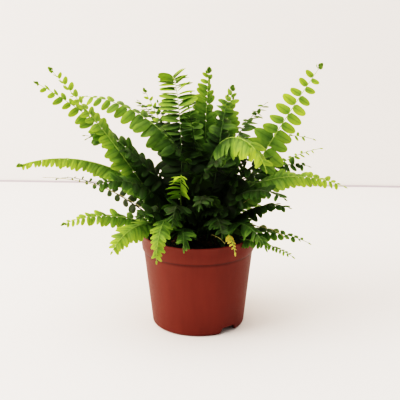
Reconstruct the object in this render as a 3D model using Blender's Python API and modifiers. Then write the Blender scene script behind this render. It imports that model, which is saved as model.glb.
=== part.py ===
"""A small Boston fern in a round plastic nursery pot: pot, peat, crowns, fronds and runners.

Metres and degrees, +Z up. The origin is the centre of the pot's base, and -Y is the front.
"""

import math
from dataclasses import dataclass, replace

import bmesh
import bpy
import numpy as np
from mathutils import Matrix, Vector
from mathutils.bvhtree import BVHTree

# Clearance between pieces that rest on each other.
GAP = 0.0003

# The pot: a thin moulded cup with a raised collar.
POT_HEIGHT = 0.100
RIM_RADIUS = 0.060
BASE_RADIUS = 0.048
POT_WALL = 0.0016
COLLAR_HEIGHT = 0.018
COLLAR_FLARE = 0.0018
COLLAR_STEP = 0.0014
CORNER_RADIUS = 0.0035
POT_STEPS = 48

# Its underside: a centre disc and a foot ring stand on the ground, with a raised channel between them.
CHANNEL_DEPTH = 0.0075
DISC_RADIUS = 0.030
FOOT_WIDTH = 0.0018
DRAFT = 0.0008
DRAIN_COUNT = 6
DRAIN_RADIUS = 0.0035
DRAIN_HEADING = 11.0
NOTCH_WIDTH = 0.030
NOTCH_HEIGHT = 0.0070
NOTCH_HEADINGS = (-49.0, 131.0)

# The peat fills the pot to this far below the rim.
SOIL_BELOW_RIM = 0.009
SOIL_LUMPS = 0.0011
SOIL_STEPS = 24

# The crowns: three low domes of old leaf bases, where the fronds and the runners come up.
CROWN_RADIUS = 0.0145
CROWN_HEIGHT = 0.007
CROWN_EDGE = 0.0015
CROWN_SPACE = 0.002
CROWN_STEPS = 16
CROWN_HEADINGS = {"left": 197.0, "right": 317.0, "back": 77.0}

# Stalks and leaflets.
STALK_RADIUS = 0.0007
STALK_TIP_RADIUS = 0.0003
FOOT_SPACE = 0.0031
OUTER_FOOT = 0.85
RUNNER_RADIUS = 0.0004
LEAFLET_THICKNESS = 0.0005
LEAFLET_WIDTH_SHARE = 0.38
PITCH_SHARE = 0.88
LOWEST_LEAFLET_SHARE = 0.7
FULL_LEAFLET_AT = 0.12
TAPER_POWER = 0.8
LEAST_LEAFLET = 0.0025
STALK_RING_SPACING = 0.014
SMALL_LEAFLET = 0.009
LARGEST_FOLD = 72.0


@dataclass
class Stem:
    """A frond's midrib or a runner: it leaves its crown at one slope and bends to another."""

    name: str
    crown: str
    heading: float
    rise: float
    end: float
    length: float
    swing: float = 0.0
    bend: float = 1.3
    roll: float = 0.0
    leaflet: float = 0.018
    pitch: float = 0.009
    bare: float = 0.25
    fold: float = 18.0
    tip_fold: float = 10.0
    forward: float = 18.0
    tip_size: float = 0.30


FRONDS = (
    # The fronds that reach out of the plant's outline, from the left over the top to the right.
    Stem("frond_left_high", "left", 187, 59.5, 48, 0.213, swing=-4, bend=1.5, roll=-25, leaflet=0.020,
         pitch=0.0085, fold=25, tip_fold=-30, tip_size=0.32),
    Stem("frond_left_fan", "back", 194, 54, 32, 0.231, swing=2, bend=1.4, roll=-48, leaflet=0.024,
         pitch=0.0100, fold=25, tip_size=0.30),
    Stem("frond_left_arched", "right", 176, 86, -5, 0.220, swing=-9, bend=1.2, roll=-30, leaflet=0.025,
         pitch=0.0095, bare=0.42, fold=38, tip_fold=10, tip_size=0.30),
    Stem("frond_left_level", "left", 186, 69, -20, 0.195, swing=-5, bend=1.0, roll=-25, leaflet=0.018,
         pitch=0.0075, fold=38, tip_fold=45, tip_size=0.35),
    Stem("frond_left_thin", "left", 159, 30, -20, 0.159, swing=-18, bend=2, roll=-60, leaflet=0.011,
         pitch=0.0115, bare=0.2, fold=5, tip_size=0.04),
    Stem("frond_left_low", "left", 198, 34, -19, 0.121, swing=-2, roll=-35, leaflet=0.017,
         pitch=0.0075),
    Stem("frond_left_rim", "left", 232, 44, -43, 0.110, swing=3, roll=-25, leaflet=0.024, pitch=0.009,
         bare=0.12),
    Stem("frond_front_rim", "left", 249, 60, -84, 0.108, swing=11, leaflet=0.020, pitch=0.008,
         bare=0.12, fold=25),
    Stem("frond_back_fan", "left", 98, 86, -10, 0.186, swing=2, bend=3.0, roll=-8, leaflet=0.027,
         pitch=0.0062, fold=0, tip_fold=-15, forward=14, tip_size=0.55),
    Stem("frond_back_upright", "back", 71, 86, 79, 0.163, swing=-4, roll=50, leaflet=0.027, pitch=0.008,
         bare=0.25, fold=0, tip_size=0.26),
    Stem("frond_back_twin", "back", 37, 75, 80, 0.147, roll=45, leaflet=0.027, pitch=0.0080, bare=0.2,
         fold=0, tip_size=0.25),
    Stem("frond_back_thin", "back", 150, 71, 57, 0.153, roll=-60, leaflet=0.014, pitch=0.009, bare=0.3,
         fold=0, tip_size=0.35),
    Stem("frond_right_upright", "right", 5, 62, 57, 0.203, swing=-7, bend=1.2, roll=82, leaflet=0.023,
         pitch=0.0118, bare=0.42, fold=-5, tip_fold=0, forward=-6, tip_size=0.36),
    Stem("frond_right_back", "left", 17, 74, -20, 0.185, swing=-6, roll=35, leaflet=0.016, bare=0.4),
    Stem("frond_right_far", "right", 28, 54, 2, 0.151, swing=-3, roll=30, leaflet=0.012, pitch=0.008,
         bare=0.35),
    Stem("frond_right_level", "right", 353, 86, -22, 0.166, swing=-1, bend=0.7, roll=32, leaflet=0.024,
         pitch=0.0075, bare=0.2, tip_size=0.22),
    Stem("frond_right_low", "right", 350, 18, -25, 0.092, roll=20, leaflet=0.013, pitch=0.0075, fold=5,
         tip_fold=0),
    Stem("frond_right_rim", "right", 323, 16, -24, 0.087, swing=8, roll=15, leaflet=0.01, pitch=0.006,
         fold=30),
    # The front, seen inside the outline.
    Stem("frond_front_large", "back", 288, 84, -66, 0.194, swing=23, bend=2, roll=18, leaflet=0.031,
         pitch=0.0085, bare=0.5, fold=30, tip_fold=20),
    Stem("frond_front_young", "left", 268, 82, 20, 0.098, swing=5, roll=-20, leaflet=0.017, pitch=0.007,
         bare=0.45, tip_size=0.5),
    Stem("frond_front_old", "right", 291, 52, -64, 0.07, leaflet=0.007, pitch=0.0055, bare=0.68,
         fold=40),
    Stem("frond_front_right", "right", 304, 50, -48, 0.098, roll=10, leaflet=0.024, bare=0.08, fold=35),
    Stem("frond_front_middle", "right", 262, 76, -25, 0.114, roll=5, leaflet=0.024, bare=0.08, fold=30),
    Stem("frond_front_left", "left", 264, 68, -35, 0.108, roll=-10, leaflet=0.024, bare=0.08, fold=30),
    Stem("frond_front_right_tall", "right", 318, 72, -20, 0.122, roll=20, leaflet=0.024, bare=0.08,
         fold=30),
    Stem("frond_front_steep", "left", 312, 80, 24, 0.122, roll=15, leaflet=0.024, bare=0.08, fold=25),
    Stem("frond_left_inner", "left", 214, 70, -12, 0.128, roll=-25, leaflet=0.024, bare=0.08, fold=30),
    Stem("frond_left_middle", "left", 160, 74, 0, 0.150, roll=-25, leaflet=0.025, bare=0.08, fold=28),
    Stem("frond_right_middle", "right", 12, 72, -18, 0.134, roll=25, leaflet=0.024, bare=0.08),
    Stem("frond_front_low_left", "left", 272, 44, -40, 0.082, leaflet=0.021, pitch=0.008, bare=0.08,
         fold=30),
    Stem("frond_front_low_right", "right", 278, 60, -36, 0.092, leaflet=0.022, pitch=0.008, bare=0.08,
         fold=30),
    Stem("frond_front_short_left", "left", 304, 62, -8, 0.078, roll=10, leaflet=0.022, pitch=0.008,
         bare=0.08, fold=30),
    Stem("frond_front_short_right", "right", 236, 62, -4, 0.082, roll=-10, leaflet=0.022, pitch=0.008,
         bare=0.08, fold=30),
    Stem("frond_front_inner_left", "left", 240, 56, -10, 0.088, roll=-15, leaflet=0.023, pitch=0.008,
         bare=0.08, fold=30),
    Stem("frond_front_inner_right", "right", 338, 56, -10, 0.090, roll=15, leaflet=0.023, pitch=0.008,
         bare=0.08, fold=30),
    # The middle and the back.
    Stem("frond_middle_short_left", "left", 196, 78, 28, 0.118, roll=-20, leaflet=0.024, bare=0.1,
         fold=25),
    Stem("frond_middle_short_right", "right", 331, 78, 24, 0.116, roll=20, leaflet=0.024, bare=0.1,
         fold=25),
    Stem("frond_middle_short_back", "back", 322, 76, 26, 0.110, leaflet=0.024, bare=0.12, fold=25),
    Stem("frond_middle_steep", "right", 205, 83, 46, 0.130, roll=-10, leaflet=0.024, bare=0.1, fold=25),
    Stem("frond_middle_back", "back", 100, 84, 44, 0.144, leaflet=0.024, bare=0.15, fold=15),
    Stem("frond_middle_front", "back", 250, 86, 64, 0.138, roll=5, leaflet=0.024, bare=0.15, fold=20),
    Stem("frond_middle_left", "left", 118, 82, 50, 0.138, roll=-30, leaflet=0.026, bare=0.12),
    Stem("frond_middle_right", "right", 62, 84, 64, 0.142, roll=40, leaflet=0.027, bare=0.12),
    Stem("frond_back_tall_right", "back", 44, 82, 60, 0.136, roll=45, leaflet=0.026, bare=0.15),
    Stem("frond_back_left", "back", 130, 70, 20, 0.160, roll=10, leaflet=0.025, bare=0.12),
    Stem("frond_back_middle", "back", 92, 66, 5, 0.160, leaflet=0.025, bare=0.12),
    Stem("frond_back_right", "back", 48, 72, 18, 0.158, roll=-10, leaflet=0.025, bare=0.12),
    Stem("frond_back_low_left", "back", 134, 34, -38, 0.108, leaflet=0.020, pitch=0.008, bare=0.2),
    Stem("frond_back_low_middle", "back", 104, 28, -42, 0.115, leaflet=0.020, pitch=0.008, bare=0.25),
    Stem("frond_back_low_right", "back", 74, 32, -40, 0.112, leaflet=0.020, pitch=0.008, bare=0.2),
    Stem("frond_right_back_low", "right", 58, 30, -38, 0.105, leaflet=0.020, pitch=0.008, bare=0.12),
)

RUNNERS = (
    Stem("runner_left", "left", 174, 42, 0, 0.150, swing=10),
    Stem("runner_right", "right", 336, 62, 15, 0.085, swing=12),
    Stem("runner_right_low", "right", 334, 40, -40, 0.080, swing=8),
    Stem("runner_front", "right", 268, 34, -14, 0.060, swing=30),
)

COLOURS = {
    "pot": ((0.31, 0.05, 0.03), 0.42),
    "peat": ((0.018, 0.012, 0.008), 0.95),
    "crown": ((0.10, 0.06, 0.025), 0.90),
    "leaf": ((0.10, 0.26, 0.03), 0.50),
    "young_leaf": ((0.34, 0.52, 0.06), 0.50),
    "old_leaf": ((0.50, 0.38, 0.08), 0.65),
    "runner": ((0.30, 0.26, 0.10), 0.60),
}


def material(name):
    colour, roughness = COLOURS[name]
    made = bpy.data.materials.new(name)
    made.use_nodes = True
    shader = made.node_tree.nodes["Principled BSDF"]
    shader.inputs["Base Color"].default_value = (*colour, 1.0)
    shader.inputs["Roughness"].default_value = roughness
    return made


def add_object(name, data, collection, look):
    made = bpy.data.objects.new(name, data)
    collection.objects.link(made)
    made.data.materials.append(look)
    return made


def turned(name, profile, steps, collection, look):
    """A profile of (radius, height) points, from the top down its outside, turned about Z."""
    mesh = bpy.data.meshes.new(name)
    edges = [(i, i + 1) for i in range(len(profile) - 1)]
    mesh.from_pydata([(r, 0.0, z) for r, z in profile], edges, [])
    made = add_object(name, mesh, collection, look)
    turn = made.modifiers.new("Turn", "SCREW")
    turn.axis = "Z"
    turn.steps = steps
    turn.render_steps = steps
    turn.use_merge_vertices = True
    turn.merge_threshold = 0.00001
    return made


# The pot.

def collar_foot():
    """The height of the collar's lower edge."""
    return POT_HEIGHT - COLLAR_HEIGHT


def soil_level():
    return POT_HEIGHT - SOIL_BELOW_RIM


def body_top_radius():
    return RIM_RADIUS - COLLAR_FLARE - COLLAR_STEP


def body_radius(height):
    """The outside of the tapered body at this height."""
    return float(np.interp(height, [CORNER_RADIUS, collar_foot()], [BASE_RADIUS, body_top_radius()]))


def inner_wall():
    """(radius, height) up the inside of the pot, from the channel's floor to the lip."""
    floor = CHANNEL_DEPTH + POT_WALL
    return [
        (body_radius(floor) - POT_WALL, floor),
        (body_top_radius() - POT_WALL, collar_foot()),
        (body_top_radius() + COLLAR_STEP - POT_WALL, collar_foot() + 2 * COLLAR_STEP),
        (RIM_RADIUS - POT_WALL, POT_HEIGHT - POT_WALL / 2),
    ]


def arc(centre, radius, start, end, count):
    """Points on a circle in the profile's plane, with the angles in degrees."""
    angles = np.radians(np.linspace(start, end, count))
    return [(centre[0] + radius * math.cos(a), centre[1] + radius * math.sin(a)) for a in angles]


def pot_profile():
    inside = [
        (0.0, POT_WALL),
        (DISC_RADIUS - POT_WALL, POT_WALL),
        (DISC_RADIUS + DRAFT - POT_WALL, CHANNEL_DEPTH + POT_WALL),
        *inner_wall(),
    ]
    lip = arc((RIM_RADIUS - POT_WALL / 2, POT_HEIGHT - POT_WALL / 2), POT_WALL / 2, 135, 0, 4)
    outside = [
        (RIM_RADIUS - COLLAR_FLARE, collar_foot()),
        (body_top_radius(), collar_foot() - COLLAR_STEP),
        *arc((BASE_RADIUS - CORNER_RADIUS, CORNER_RADIUS), CORNER_RADIUS, 0, -90, 5),
    ]
    foot_inside = BASE_RADIUS - CORNER_RADIUS - FOOT_WIDTH
    underside = [
        (foot_inside, 0.0),
        (foot_inside - DRAFT, CHANNEL_DEPTH),
        (DISC_RADIUS + DRAFT, CHANNEL_DEPTH),
        (DISC_RADIUS, 0.0),
        (0.0, 0.0),
    ]
    return inside + lip + outside + underside


def cut(target, cutter, cutters):
    """Cuts the mesh out of the target, and keeps the cutter as a hidden helper."""
    cutters.objects.link(cutter)
    cutter.hide_render = True
    cutter.display_type = "WIRE"
    boolean = target.modifiers.new(cutter.name, "BOOLEAN")
    boolean.operation = "DIFFERENCE"
    boolean.solver = "EXACT"
    boolean.object = cutter


def drain_cutter(name, heading):
    """An upright cylinder through the floor of the channel."""
    mesh = bmesh.new()
    bmesh.ops.create_cone(mesh, cap_ends=True, segments=12, radius1=DRAIN_RADIUS, radius2=DRAIN_RADIUS,
                          depth=6 * POT_WALL)
    channel_middle = (DISC_RADIUS + BASE_RADIUS - CORNER_RADIUS - FOOT_WIDTH) / 2
    place = Matrix.Rotation(math.radians(heading), 4, "Z") @ Matrix.Translation(
        (channel_middle, 0.0, CHANNEL_DEPTH + POT_WALL / 2))
    return finish_cutter(name, mesh, place)


def notch_cutter(name, heading):
    """A wedge-sided block that opens the foot ring from the channel to the outside."""
    mesh = bmesh.new()
    depth = CORNER_RADIUS + 4 * FOOT_WIDTH
    bmesh.ops.create_cube(mesh, size=1.0)
    for vertex in mesh.verts:
        upper = vertex.co.z > 0
        width = NOTCH_WIDTH - (2 * NOTCH_HEIGHT if upper else 0.0)
        height = NOTCH_HEIGHT if upper else -NOTCH_HEIGHT
        vertex.co = Vector((vertex.co.x * depth, vertex.co.y * width, height))
    place = Matrix.Rotation(math.radians(heading), 4, "Z") @ Matrix.Translation(
        (BASE_RADIUS - CORNER_RADIUS, 0.0, 0.0))
    return finish_cutter(name, mesh, place)


def finish_cutter(name, mesh, place):
    data = bpy.data.meshes.new(name)
    mesh.to_mesh(data)
    mesh.free()
    made = bpy.data.objects.new(name, data)
    made.matrix_world = place
    return made


def add_pot(collection, cutters):
    pot = turned("pot", pot_profile(), POT_STEPS, collection, material("pot"))
    for index in range(DRAIN_COUNT):
        heading = DRAIN_HEADING + index * 360.0 / DRAIN_COUNT
        cut(pot, drain_cutter(f"drain_{index + 1}", heading), cutters)
    for index, heading in enumerate(NOTCH_HEADINGS):
        cut(pot, notch_cutter(f"notch_{index + 1}", heading), cutters)


# The peat.

def crown_offset():
    """How far each crown's centre is from the pot's axis."""
    return (2 * CROWN_RADIUS + CROWN_SPACE) / math.sqrt(3.0)


def soil_profile():
    """From the centre of the level middle, over the lumpy edge and down the side to the floor."""
    level = soil_level()
    wall = inner_wall()
    edge = float(np.interp(level, [z for _, z in wall], [r for r, _ in wall])) - GAP
    middle = crown_offset() + CROWN_RADIUS + 4 * GAP
    side = [(r - GAP, z) for r, z in reversed(wall) if z < level]
    side[-1] = (side[-1][0], side[-1][1] + GAP)
    return [
        (0.0, level),
        *((r, level) for r in np.linspace(middle, edge, 5)),
        *side,
        (DISC_RADIUS + DRAFT - POT_WALL - GAP, CHANNEL_DEPTH + POT_WALL + GAP),
        (DISC_RADIUS - POT_WALL - GAP, POT_WALL + GAP),
        (0.0, POT_WALL + GAP),
    ]


def add_soil(collection):
    soil = turned("soil", soil_profile(), SOIL_STEPS, collection, material("peat"))
    bpy.context.view_layer.objects.active = soil
    bpy.ops.object.modifier_apply(modifier="Turn")
    middle = crown_offset() + CROWN_RADIUS + 4 * GAP
    edge = max(math.hypot(v.co.x, v.co.y) for v in soil.data.vertices)
    for vertex in soil.data.vertices:
        radius = math.hypot(vertex.co.x, vertex.co.y)
        if vertex.co.z > soil_level() - GAP and middle + GAP < radius < edge - GAP:
            heading = math.atan2(vertex.co.y, vertex.co.x)
            vertex.co.z += SOIL_LUMPS * math.sin(5 * heading + 300 * radius) * math.cos(8 * heading)


# The crowns.

def crown_centre(crown):
    heading = math.radians(CROWN_HEADINGS[crown])
    return Vector((crown_offset() * math.cos(heading), crown_offset() * math.sin(heading),
                   soil_level() + GAP))


def crown_top(radius):
    """The dome's height over the peat at this distance from the crown's centre."""
    return CROWN_EDGE + CROWN_HEIGHT * (1.0 - (radius / CROWN_RADIUS) ** 2)


def add_crown(crown, collection, look):
    profile = [(r, crown_top(r)) for r in np.linspace(0.0, CROWN_RADIUS, 7)]
    profile += [(CROWN_RADIUS, 0.0), (0.0, 0.0)]
    made = turned(f"crown_{crown}", profile, CROWN_STEPS, collection, look)
    made.location = crown_centre(crown)


# Stems: a frond's midrib or a runner, as a line that bends from one slope to another.

def spread_feet(stems):
    """Where each stem stands on its crown: low ones near the edge, steep ones in the middle, spaced apart."""
    names = [stem.name for stem in stems]
    crowns = np.array([list(CROWN_HEADINGS).index(stem.crown) for stem in stems])
    headings = np.radians([stem.heading for stem in stems])
    radii = CROWN_RADIUS * np.array([0.1 + 0.75 * (1.0 - stem.rise / 90.0) for stem in stems])
    feet = np.stack([np.cos(headings), np.sin(headings)], 1) * radii[:, None]
    for _ in range(200):
        apart = feet[:, None] - feet[None]
        distance = np.linalg.norm(apart, axis=2)
        close = (crowns[:, None] == crowns) & (distance < FOOT_SPACE) & (distance > 0)
        push = np.where(close, (FOOT_SPACE - distance) / np.maximum(distance, 1e-9), 0.0)
        feet = feet + 0.3 * (apart * push[:, :, None]).sum(1)
        reach = np.linalg.norm(feet, axis=1)
        feet *= np.minimum(1.0, OUTER_FOOT * CROWN_RADIUS / reach)[:, None]
    return dict(zip(names, feet))


FEET = spread_feet(FRONDS + RUNNERS)


def stem_base(stem):
    """The start of the stem's middle line, with its end face just clear of the crown."""
    foot = Vector((*FEET[stem.name], 0.0))
    slope = math.radians(stem.rise)
    heading = math.radians(stem.heading)
    normal = (foot * (2 * CROWN_HEIGHT / CROWN_RADIUS ** 2) + Vector((0, 0, 1))).normalized()
    outward = Vector((math.cos(heading), math.sin(heading), 0.0))
    tangent = outward * math.cos(slope) + Vector((0, 0, math.sin(slope)))
    lift = GAP + 1.5 * STALK_RADIUS * normal.cross(tangent).length
    return crown_centre(stem.crown) + foot + Vector((0, 0, crown_top(foot.length))) + normal * lift


def stem_frames(stem, shares):
    """Matrices at these shares of the stem's length: X to its left, Y out of the blade's top, Z along it."""
    fine = np.linspace(0.0, 1.0, 121)
    heading = np.radians(stem.heading + stem.swing * fine)
    slope = np.radians(stem.rise + (stem.end - stem.rise) * fine ** stem.bend)
    level = np.cos(slope)
    along = np.stack([level * np.cos(heading), level * np.sin(heading), np.sin(slope)], 1)
    steps = (along[1:] + along[:-1]) / 2 * stem.length / 120
    points = np.vstack([np.zeros(3), np.cumsum(steps, 0)])
    base = stem_base(stem)
    frames = []
    for share in shares:
        tangent = Vector([np.interp(share, fine, along[:, k]) for k in range(3)]).normalized()
        point = base + Vector([np.interp(share, fine, points[:, k]) for k in range(3)])
        left = Vector((-tangent.y, tangent.x, 0.0)).normalized()
        turn = Matrix.Rotation(math.radians(stem.roll), 3, tangent)
        side = turn @ left
        top = tangent.cross(side)
        frames.append(Matrix.Translation(point) @ Matrix((side, top, tangent)).transposed().to_4x4())
    return frames


def leaflet_pairs(stem):
    return max(3, round(stem.length * (1.0 - stem.bare) / stem.pitch))


def stem_shares(stem):
    """Where the stem has rings: evenly up the bare stalk, then one at each side of every pair of leaflets."""
    stalk_rings = max(2, round(stem.length * stem.bare / STALK_RING_SPACING)) + 1
    stalk = np.linspace(0.0, stem.bare, stalk_rings)
    blade = np.linspace(stem.bare, 1.0, leaflet_pairs(stem) + 2)
    return [*stalk, *blade[1:]]


def square(frame, half_width, half_height):
    """Four corners across a frame's Z."""
    corners = ((-1, -1), (1, -1), (1, 1), (-1, 1))
    return [frame @ Vector((x * half_width, y * half_height, 0.0)) for x, y in corners]


def stalk_sections(stem, clearance=0.0):
    shares = stem_shares(stem)
    radii = [STALK_RADIUS + (STALK_TIP_RADIUS - STALK_RADIUS) * share + clearance for share in shares]
    return [square(frame, r, r) for frame, r in zip(stem_frames(stem, shares), radii)]


# Keeping the stems and leaflets clear of each other.

class Crowd:
    """Every solid placed so far, with its owner, so that a new one can be kept clear of the rest."""

    def __init__(self):
        self.owners = []
        self.lows = np.empty((0, 3))
        self.highs = np.empty((0, 3))
        self.trees = []

    def add(self, owner, points, polygons):
        array = np.array(points)
        self.owners.append(owner)
        self.lows = np.vstack([self.lows, array.min(0)])
        self.highs = np.vstack([self.highs, array.max(0)])
        self.trees.append(BVHTree.FromPolygons(points, polygons))

    def hit(self, mine, points, polygons):
        """Whether this shape meets any solid that doesn't belong to one of the owners in mine."""
        array = np.array(points)
        near = np.all((self.lows < array.max(0)) & (self.highs > array.min(0)), axis=1)
        tree = None
        for index in np.flatnonzero(near):
            if self.owners[index] in mine:
                continue
            tree = tree or BVHTree.FromPolygons(points, polygons)
            if tree.overlap(self.trees[index]):
                return True
        return False


def hull(sections, tip=None):
    """(points, polygons) of square sections joined in a row, closed by a tip or an end face."""
    points = [corner for section in sections for corner in section]
    polygons = [(3, 2, 1, 0)]
    for first in range(0, 4 * len(sections) - 4, 4):
        for k in range(4):
            polygons.append((first + k, first + (k + 1) % 4, first + 4 + (k + 1) % 4, first + 4 + k))
    last = 4 * len(sections) - 4
    if tip is None:
        polygons.append((last, last + 1, last + 2, last + 3))
        return points, polygons
    polygons += [(last + k, last + (k + 1) % 4, len(points)) for k in range(4)]
    return [*points, tip], polygons


def cleared_stem(stem, crowd):
    """The stem, turned and lifted in small steps at its crown until it is clear of what is placed."""
    for lift in range(0, 44, 4):
        for turn in (0, 3, -3, 6, -6, 9, -9, 12, -12, 15, -15):
            tried = replace(stem, heading=stem.heading + turn, rise=min(stem.rise + lift, 88.0))
            if not crowd.hit({f"crown_{stem.crown}"}, *hull(stalk_sections(tried, 2 * GAP))):
                return tried
    return stem


# Leaflets.

@dataclass
class Leaflet:
    """One leaflet beside a midrib: a flat blade from its root to its shoulder, then to its tip."""

    root: Matrix
    half_pitch: float
    half_stalk: float
    sign: int
    length: float
    width: float
    fold: float
    forward: float

    def blade_frame(self):
        """X along the midrib, Y out of the leaflet's top, Z from its root to its tip."""
        side, top, along, root = (self.root.col[k].xyz for k in range(4))
        forward = math.radians(self.forward)
        fold = math.radians(self.fold)
        outward = side * self.sign * math.cos(forward) + along * math.sin(forward)
        outward = (outward * math.cos(fold) - top * math.sin(fold)).normalized()
        across = (along - outward * along.dot(outward)).normalized()
        face = outward.cross(across)
        face = face if face.dot(top) > 0 else -face
        return Matrix.Translation(root) @ Matrix((across, face, outward)).transposed().to_4x4()

    def is_small(self):
        return self.length < SMALL_LEAFLET

    def shoulder(self, clearance=0.0):
        frame = self.blade_frame() @ Matrix.Translation((0.0, 0.0, 0.4 * self.length))
        return frame, self.width / 2 + clearance, LEAFLET_THICKNESS / 2 + clearance

    def tip(self, clearance=0.0):
        return self.blade_frame() @ Vector((0.0, 0.0, self.length + clearance))

    def hull(self, clearance=0.0):
        root = square(self.blade_frame(), self.half_pitch, self.half_stalk)
        sections = [root] if self.is_small() else [root, square(*self.shoulder(clearance))]
        return hull(sections, self.tip(clearance))

    def grow(self, mesh, face):
        """Models the leaflet out of one side face of the midrib."""
        if self.is_small():
            middle = bmesh.ops.poke(mesh, faces=[face])["verts"][0]
            middle.co = self.tip()
            return
        frame, half_width, half_height = self.shoulder()
        along, top, root = (self.root.col[k].xyz for k in (2, 1, 3))
        end = bmesh.ops.extrude_discrete_faces(mesh, faces=[face])["faces"][0]
        for vertex in end.verts:
            x = math.copysign(half_width, (vertex.co - root).dot(along))
            y = math.copysign(half_height, (vertex.co - root).dot(top))
            vertex.co = frame @ Vector((x, y, 0.0))
        middle = bmesh.ops.poke(mesh, faces=[end])["verts"][0]
        middle.co = self.tip()


def leaflet_length(stem, up_blade):
    """Leaflets grow to full length a little up the blade, then shrink towards the tip."""
    start = min(1.0, LOWEST_LEAFLET_SHARE + (1.0 - LOWEST_LEAFLET_SHARE) * up_blade / FULL_LEAFLET_AT)
    taper = stem.tip_size + (1.0 - stem.tip_size) * (1.0 - up_blade) ** TAPER_POWER
    return max(stem.leaflet * start * taper, LEAST_LEAFLET)


def leaflets_of(stem):
    """(ring, leaflet) for both rows of a frond, from the stalk to the tip."""
    shares = stem_shares(stem)
    first = len(shares) - 2 - leaflet_pairs(stem)
    for pair in range(leaflet_pairs(stem)):
        ring = first + pair
        share = (shares[ring] + shares[ring + 1]) / 2
        up_blade = (pair + 0.5) / leaflet_pairs(stem)
        length = leaflet_length(stem, up_blade)
        pitch = (shares[ring + 1] - shares[ring]) * stem.length
        half_stalk = STALK_RADIUS + (STALK_TIP_RADIUS - STALK_RADIUS) * share
        width = min(LEAFLET_WIDTH_SHARE * length, PITCH_SHARE * pitch)
        fold = stem.fold + (stem.tip_fold - stem.fold) * up_blade
        frame = stem_frames(stem, [share])[0]
        for sign in (1, -1):
            root = frame @ Matrix.Translation((sign * half_stalk, 0.0, 0.0))
            yield ring, Leaflet(root, pitch / 2, half_stalk, sign, length, width, fold, stem.forward)


def cleared_leaflet(leaflet, stem, crowd):
    """The leaflet, tilted or shortened until it is clear of the rest, or None where there is no room."""
    for share in (1.0, 0.75, 0.5, 0.3):
        for tilt in (0, 20, -20, 40, -40):
            fold = max(-LARGEST_FOLD, min(LARGEST_FOLD, leaflet.fold + tilt))
            tried = replace(leaflet, length=leaflet.length * share, fold=fold)
            if not crowd.hit({stem.name}, *tried.hull(GAP)):
                return tried
    return None


# Fronds and runners.

def stalk_mesh(stem):
    """The midrib as a bmesh, with its side faces as {(ring, sign): face}."""
    sections = stalk_sections(stem)
    frames = stem_frames(stem, stem_shares(stem))
    mesh = bmesh.new()
    bmesh.ops.create_cube(mesh, size=2.0)
    end = max(mesh.faces, key=lambda face: face.calc_center_median().z)
    sides = {}
    for vertex in mesh.verts:
        corner = ((-1, -1), (1, -1), (1, 1), (-1, 1)).index((round(vertex.co.x), round(vertex.co.y)))
        vertex.co = sections[1 if vertex.co.z > 0 else 0][corner]
    for ring in range(1, len(sections) - 1):
        end = bmesh.ops.extrude_discrete_faces(mesh, faces=[end])["faces"][0]
        for vertex in end.verts:
            nearest = min(range(4), key=lambda corner: (sections[ring][corner] - vertex.co).length)
            vertex.co = sections[ring + 1][nearest]
        middle = (frames[ring].translation + frames[ring + 1].translation) / 2
        side, top = (frames[ring].col[k].xyz for k in (0, 1))
        for edge in end.edges:
            face = next(f for f in edge.link_faces if f is not end)
            offset = face.calc_center_median() - middle
            if abs(offset.dot(side)) > abs(offset.dot(top)):
                sides[ring, round(math.copysign(1, offset.dot(side)))] = face
    return mesh, sides


def add_frond(stem, crowd, collection, look):
    mesh, sides = stalk_mesh(stem)
    for ring, leaflet in leaflets_of(stem):
        leaflet = cleared_leaflet(leaflet, stem, crowd)
        if leaflet:
            leaflet.grow(mesh, sides[ring, leaflet.sign])
            crowd.add(stem.name, *leaflet.hull())
    base = stem_base(stem)
    bmesh.ops.translate(mesh, vec=-base, verts=mesh.verts)
    bmesh.ops.recalc_face_normals(mesh, faces=mesh.faces)
    data = bpy.data.meshes.new(stem.name)
    mesh.to_mesh(data)
    mesh.free()
    add_object(stem.name, data, collection, look).location = base


def add_runner(stem, collection, look):
    """A thin tube with round ends."""
    curve = bpy.data.curves.new(stem.name, "CURVE")
    curve.dimensions = "3D"
    curve.bevel_depth = RUNNER_RADIUS
    curve.bevel_resolution = 1
    curve.use_fill_caps = True
    base = stem_base(stem)
    frames = stem_frames(stem, np.linspace(0.0, 1.0, 15))
    line = curve.splines.new("POLY")
    line.points.add(len(frames) - 1)
    for point, frame in zip(line.points, frames):
        point.co = (*(frame.translation - base), 1.0)
    add_object(stem.name, curve, collection, look).location = base


def main():
    for left_over in list(bpy.data.objects):
        bpy.data.objects.remove(left_over)
    collection = bpy.data.collections.new("potted_fern")
    cutters = bpy.data.collections.new("cutters")
    bpy.context.scene.collection.children.link(collection)
    bpy.context.scene.collection.children.link(cutters)

    add_pot(collection, cutters)
    add_soil(collection)
    crown_look = material("crown")
    for crown in CROWN_HEADINGS:
        add_crown(crown, collection, crown_look)

    crowd = Crowd()
    bpy.context.view_layer.update()
    graph = bpy.context.evaluated_depsgraph_get()
    for placed in collection.objects:
        shape = placed.evaluated_get(graph).to_mesh()
        points = [placed.matrix_world @ vertex.co for vertex in shape.vertices]
        crowd.add(placed.name, points, [tuple(face.vertices) for face in shape.polygons])

    stems = []
    for stem in FRONDS + RUNNERS:
        stem = cleared_stem(stem, crowd)
        crowd.add(stem.name, *hull(stalk_sections(stem)))
        stems.append(stem)

    looks = {name: material(name) for name in ("leaf", "young_leaf", "old_leaf", "runner")}
    for stem in stems[len(FRONDS):]:
        add_runner(stem, collection, looks["runner"])
    for stem in stems[:len(FRONDS)]:
        kind = {"frond_front_young": "young_leaf", "frond_front_old": "old_leaf"}.get(stem.name, "leaf")
        add_frond(stem, crowd, collection, looks[kind])


main()
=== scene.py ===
import math

import bmesh
import bpy
import numpy as np
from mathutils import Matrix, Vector, noise


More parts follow.
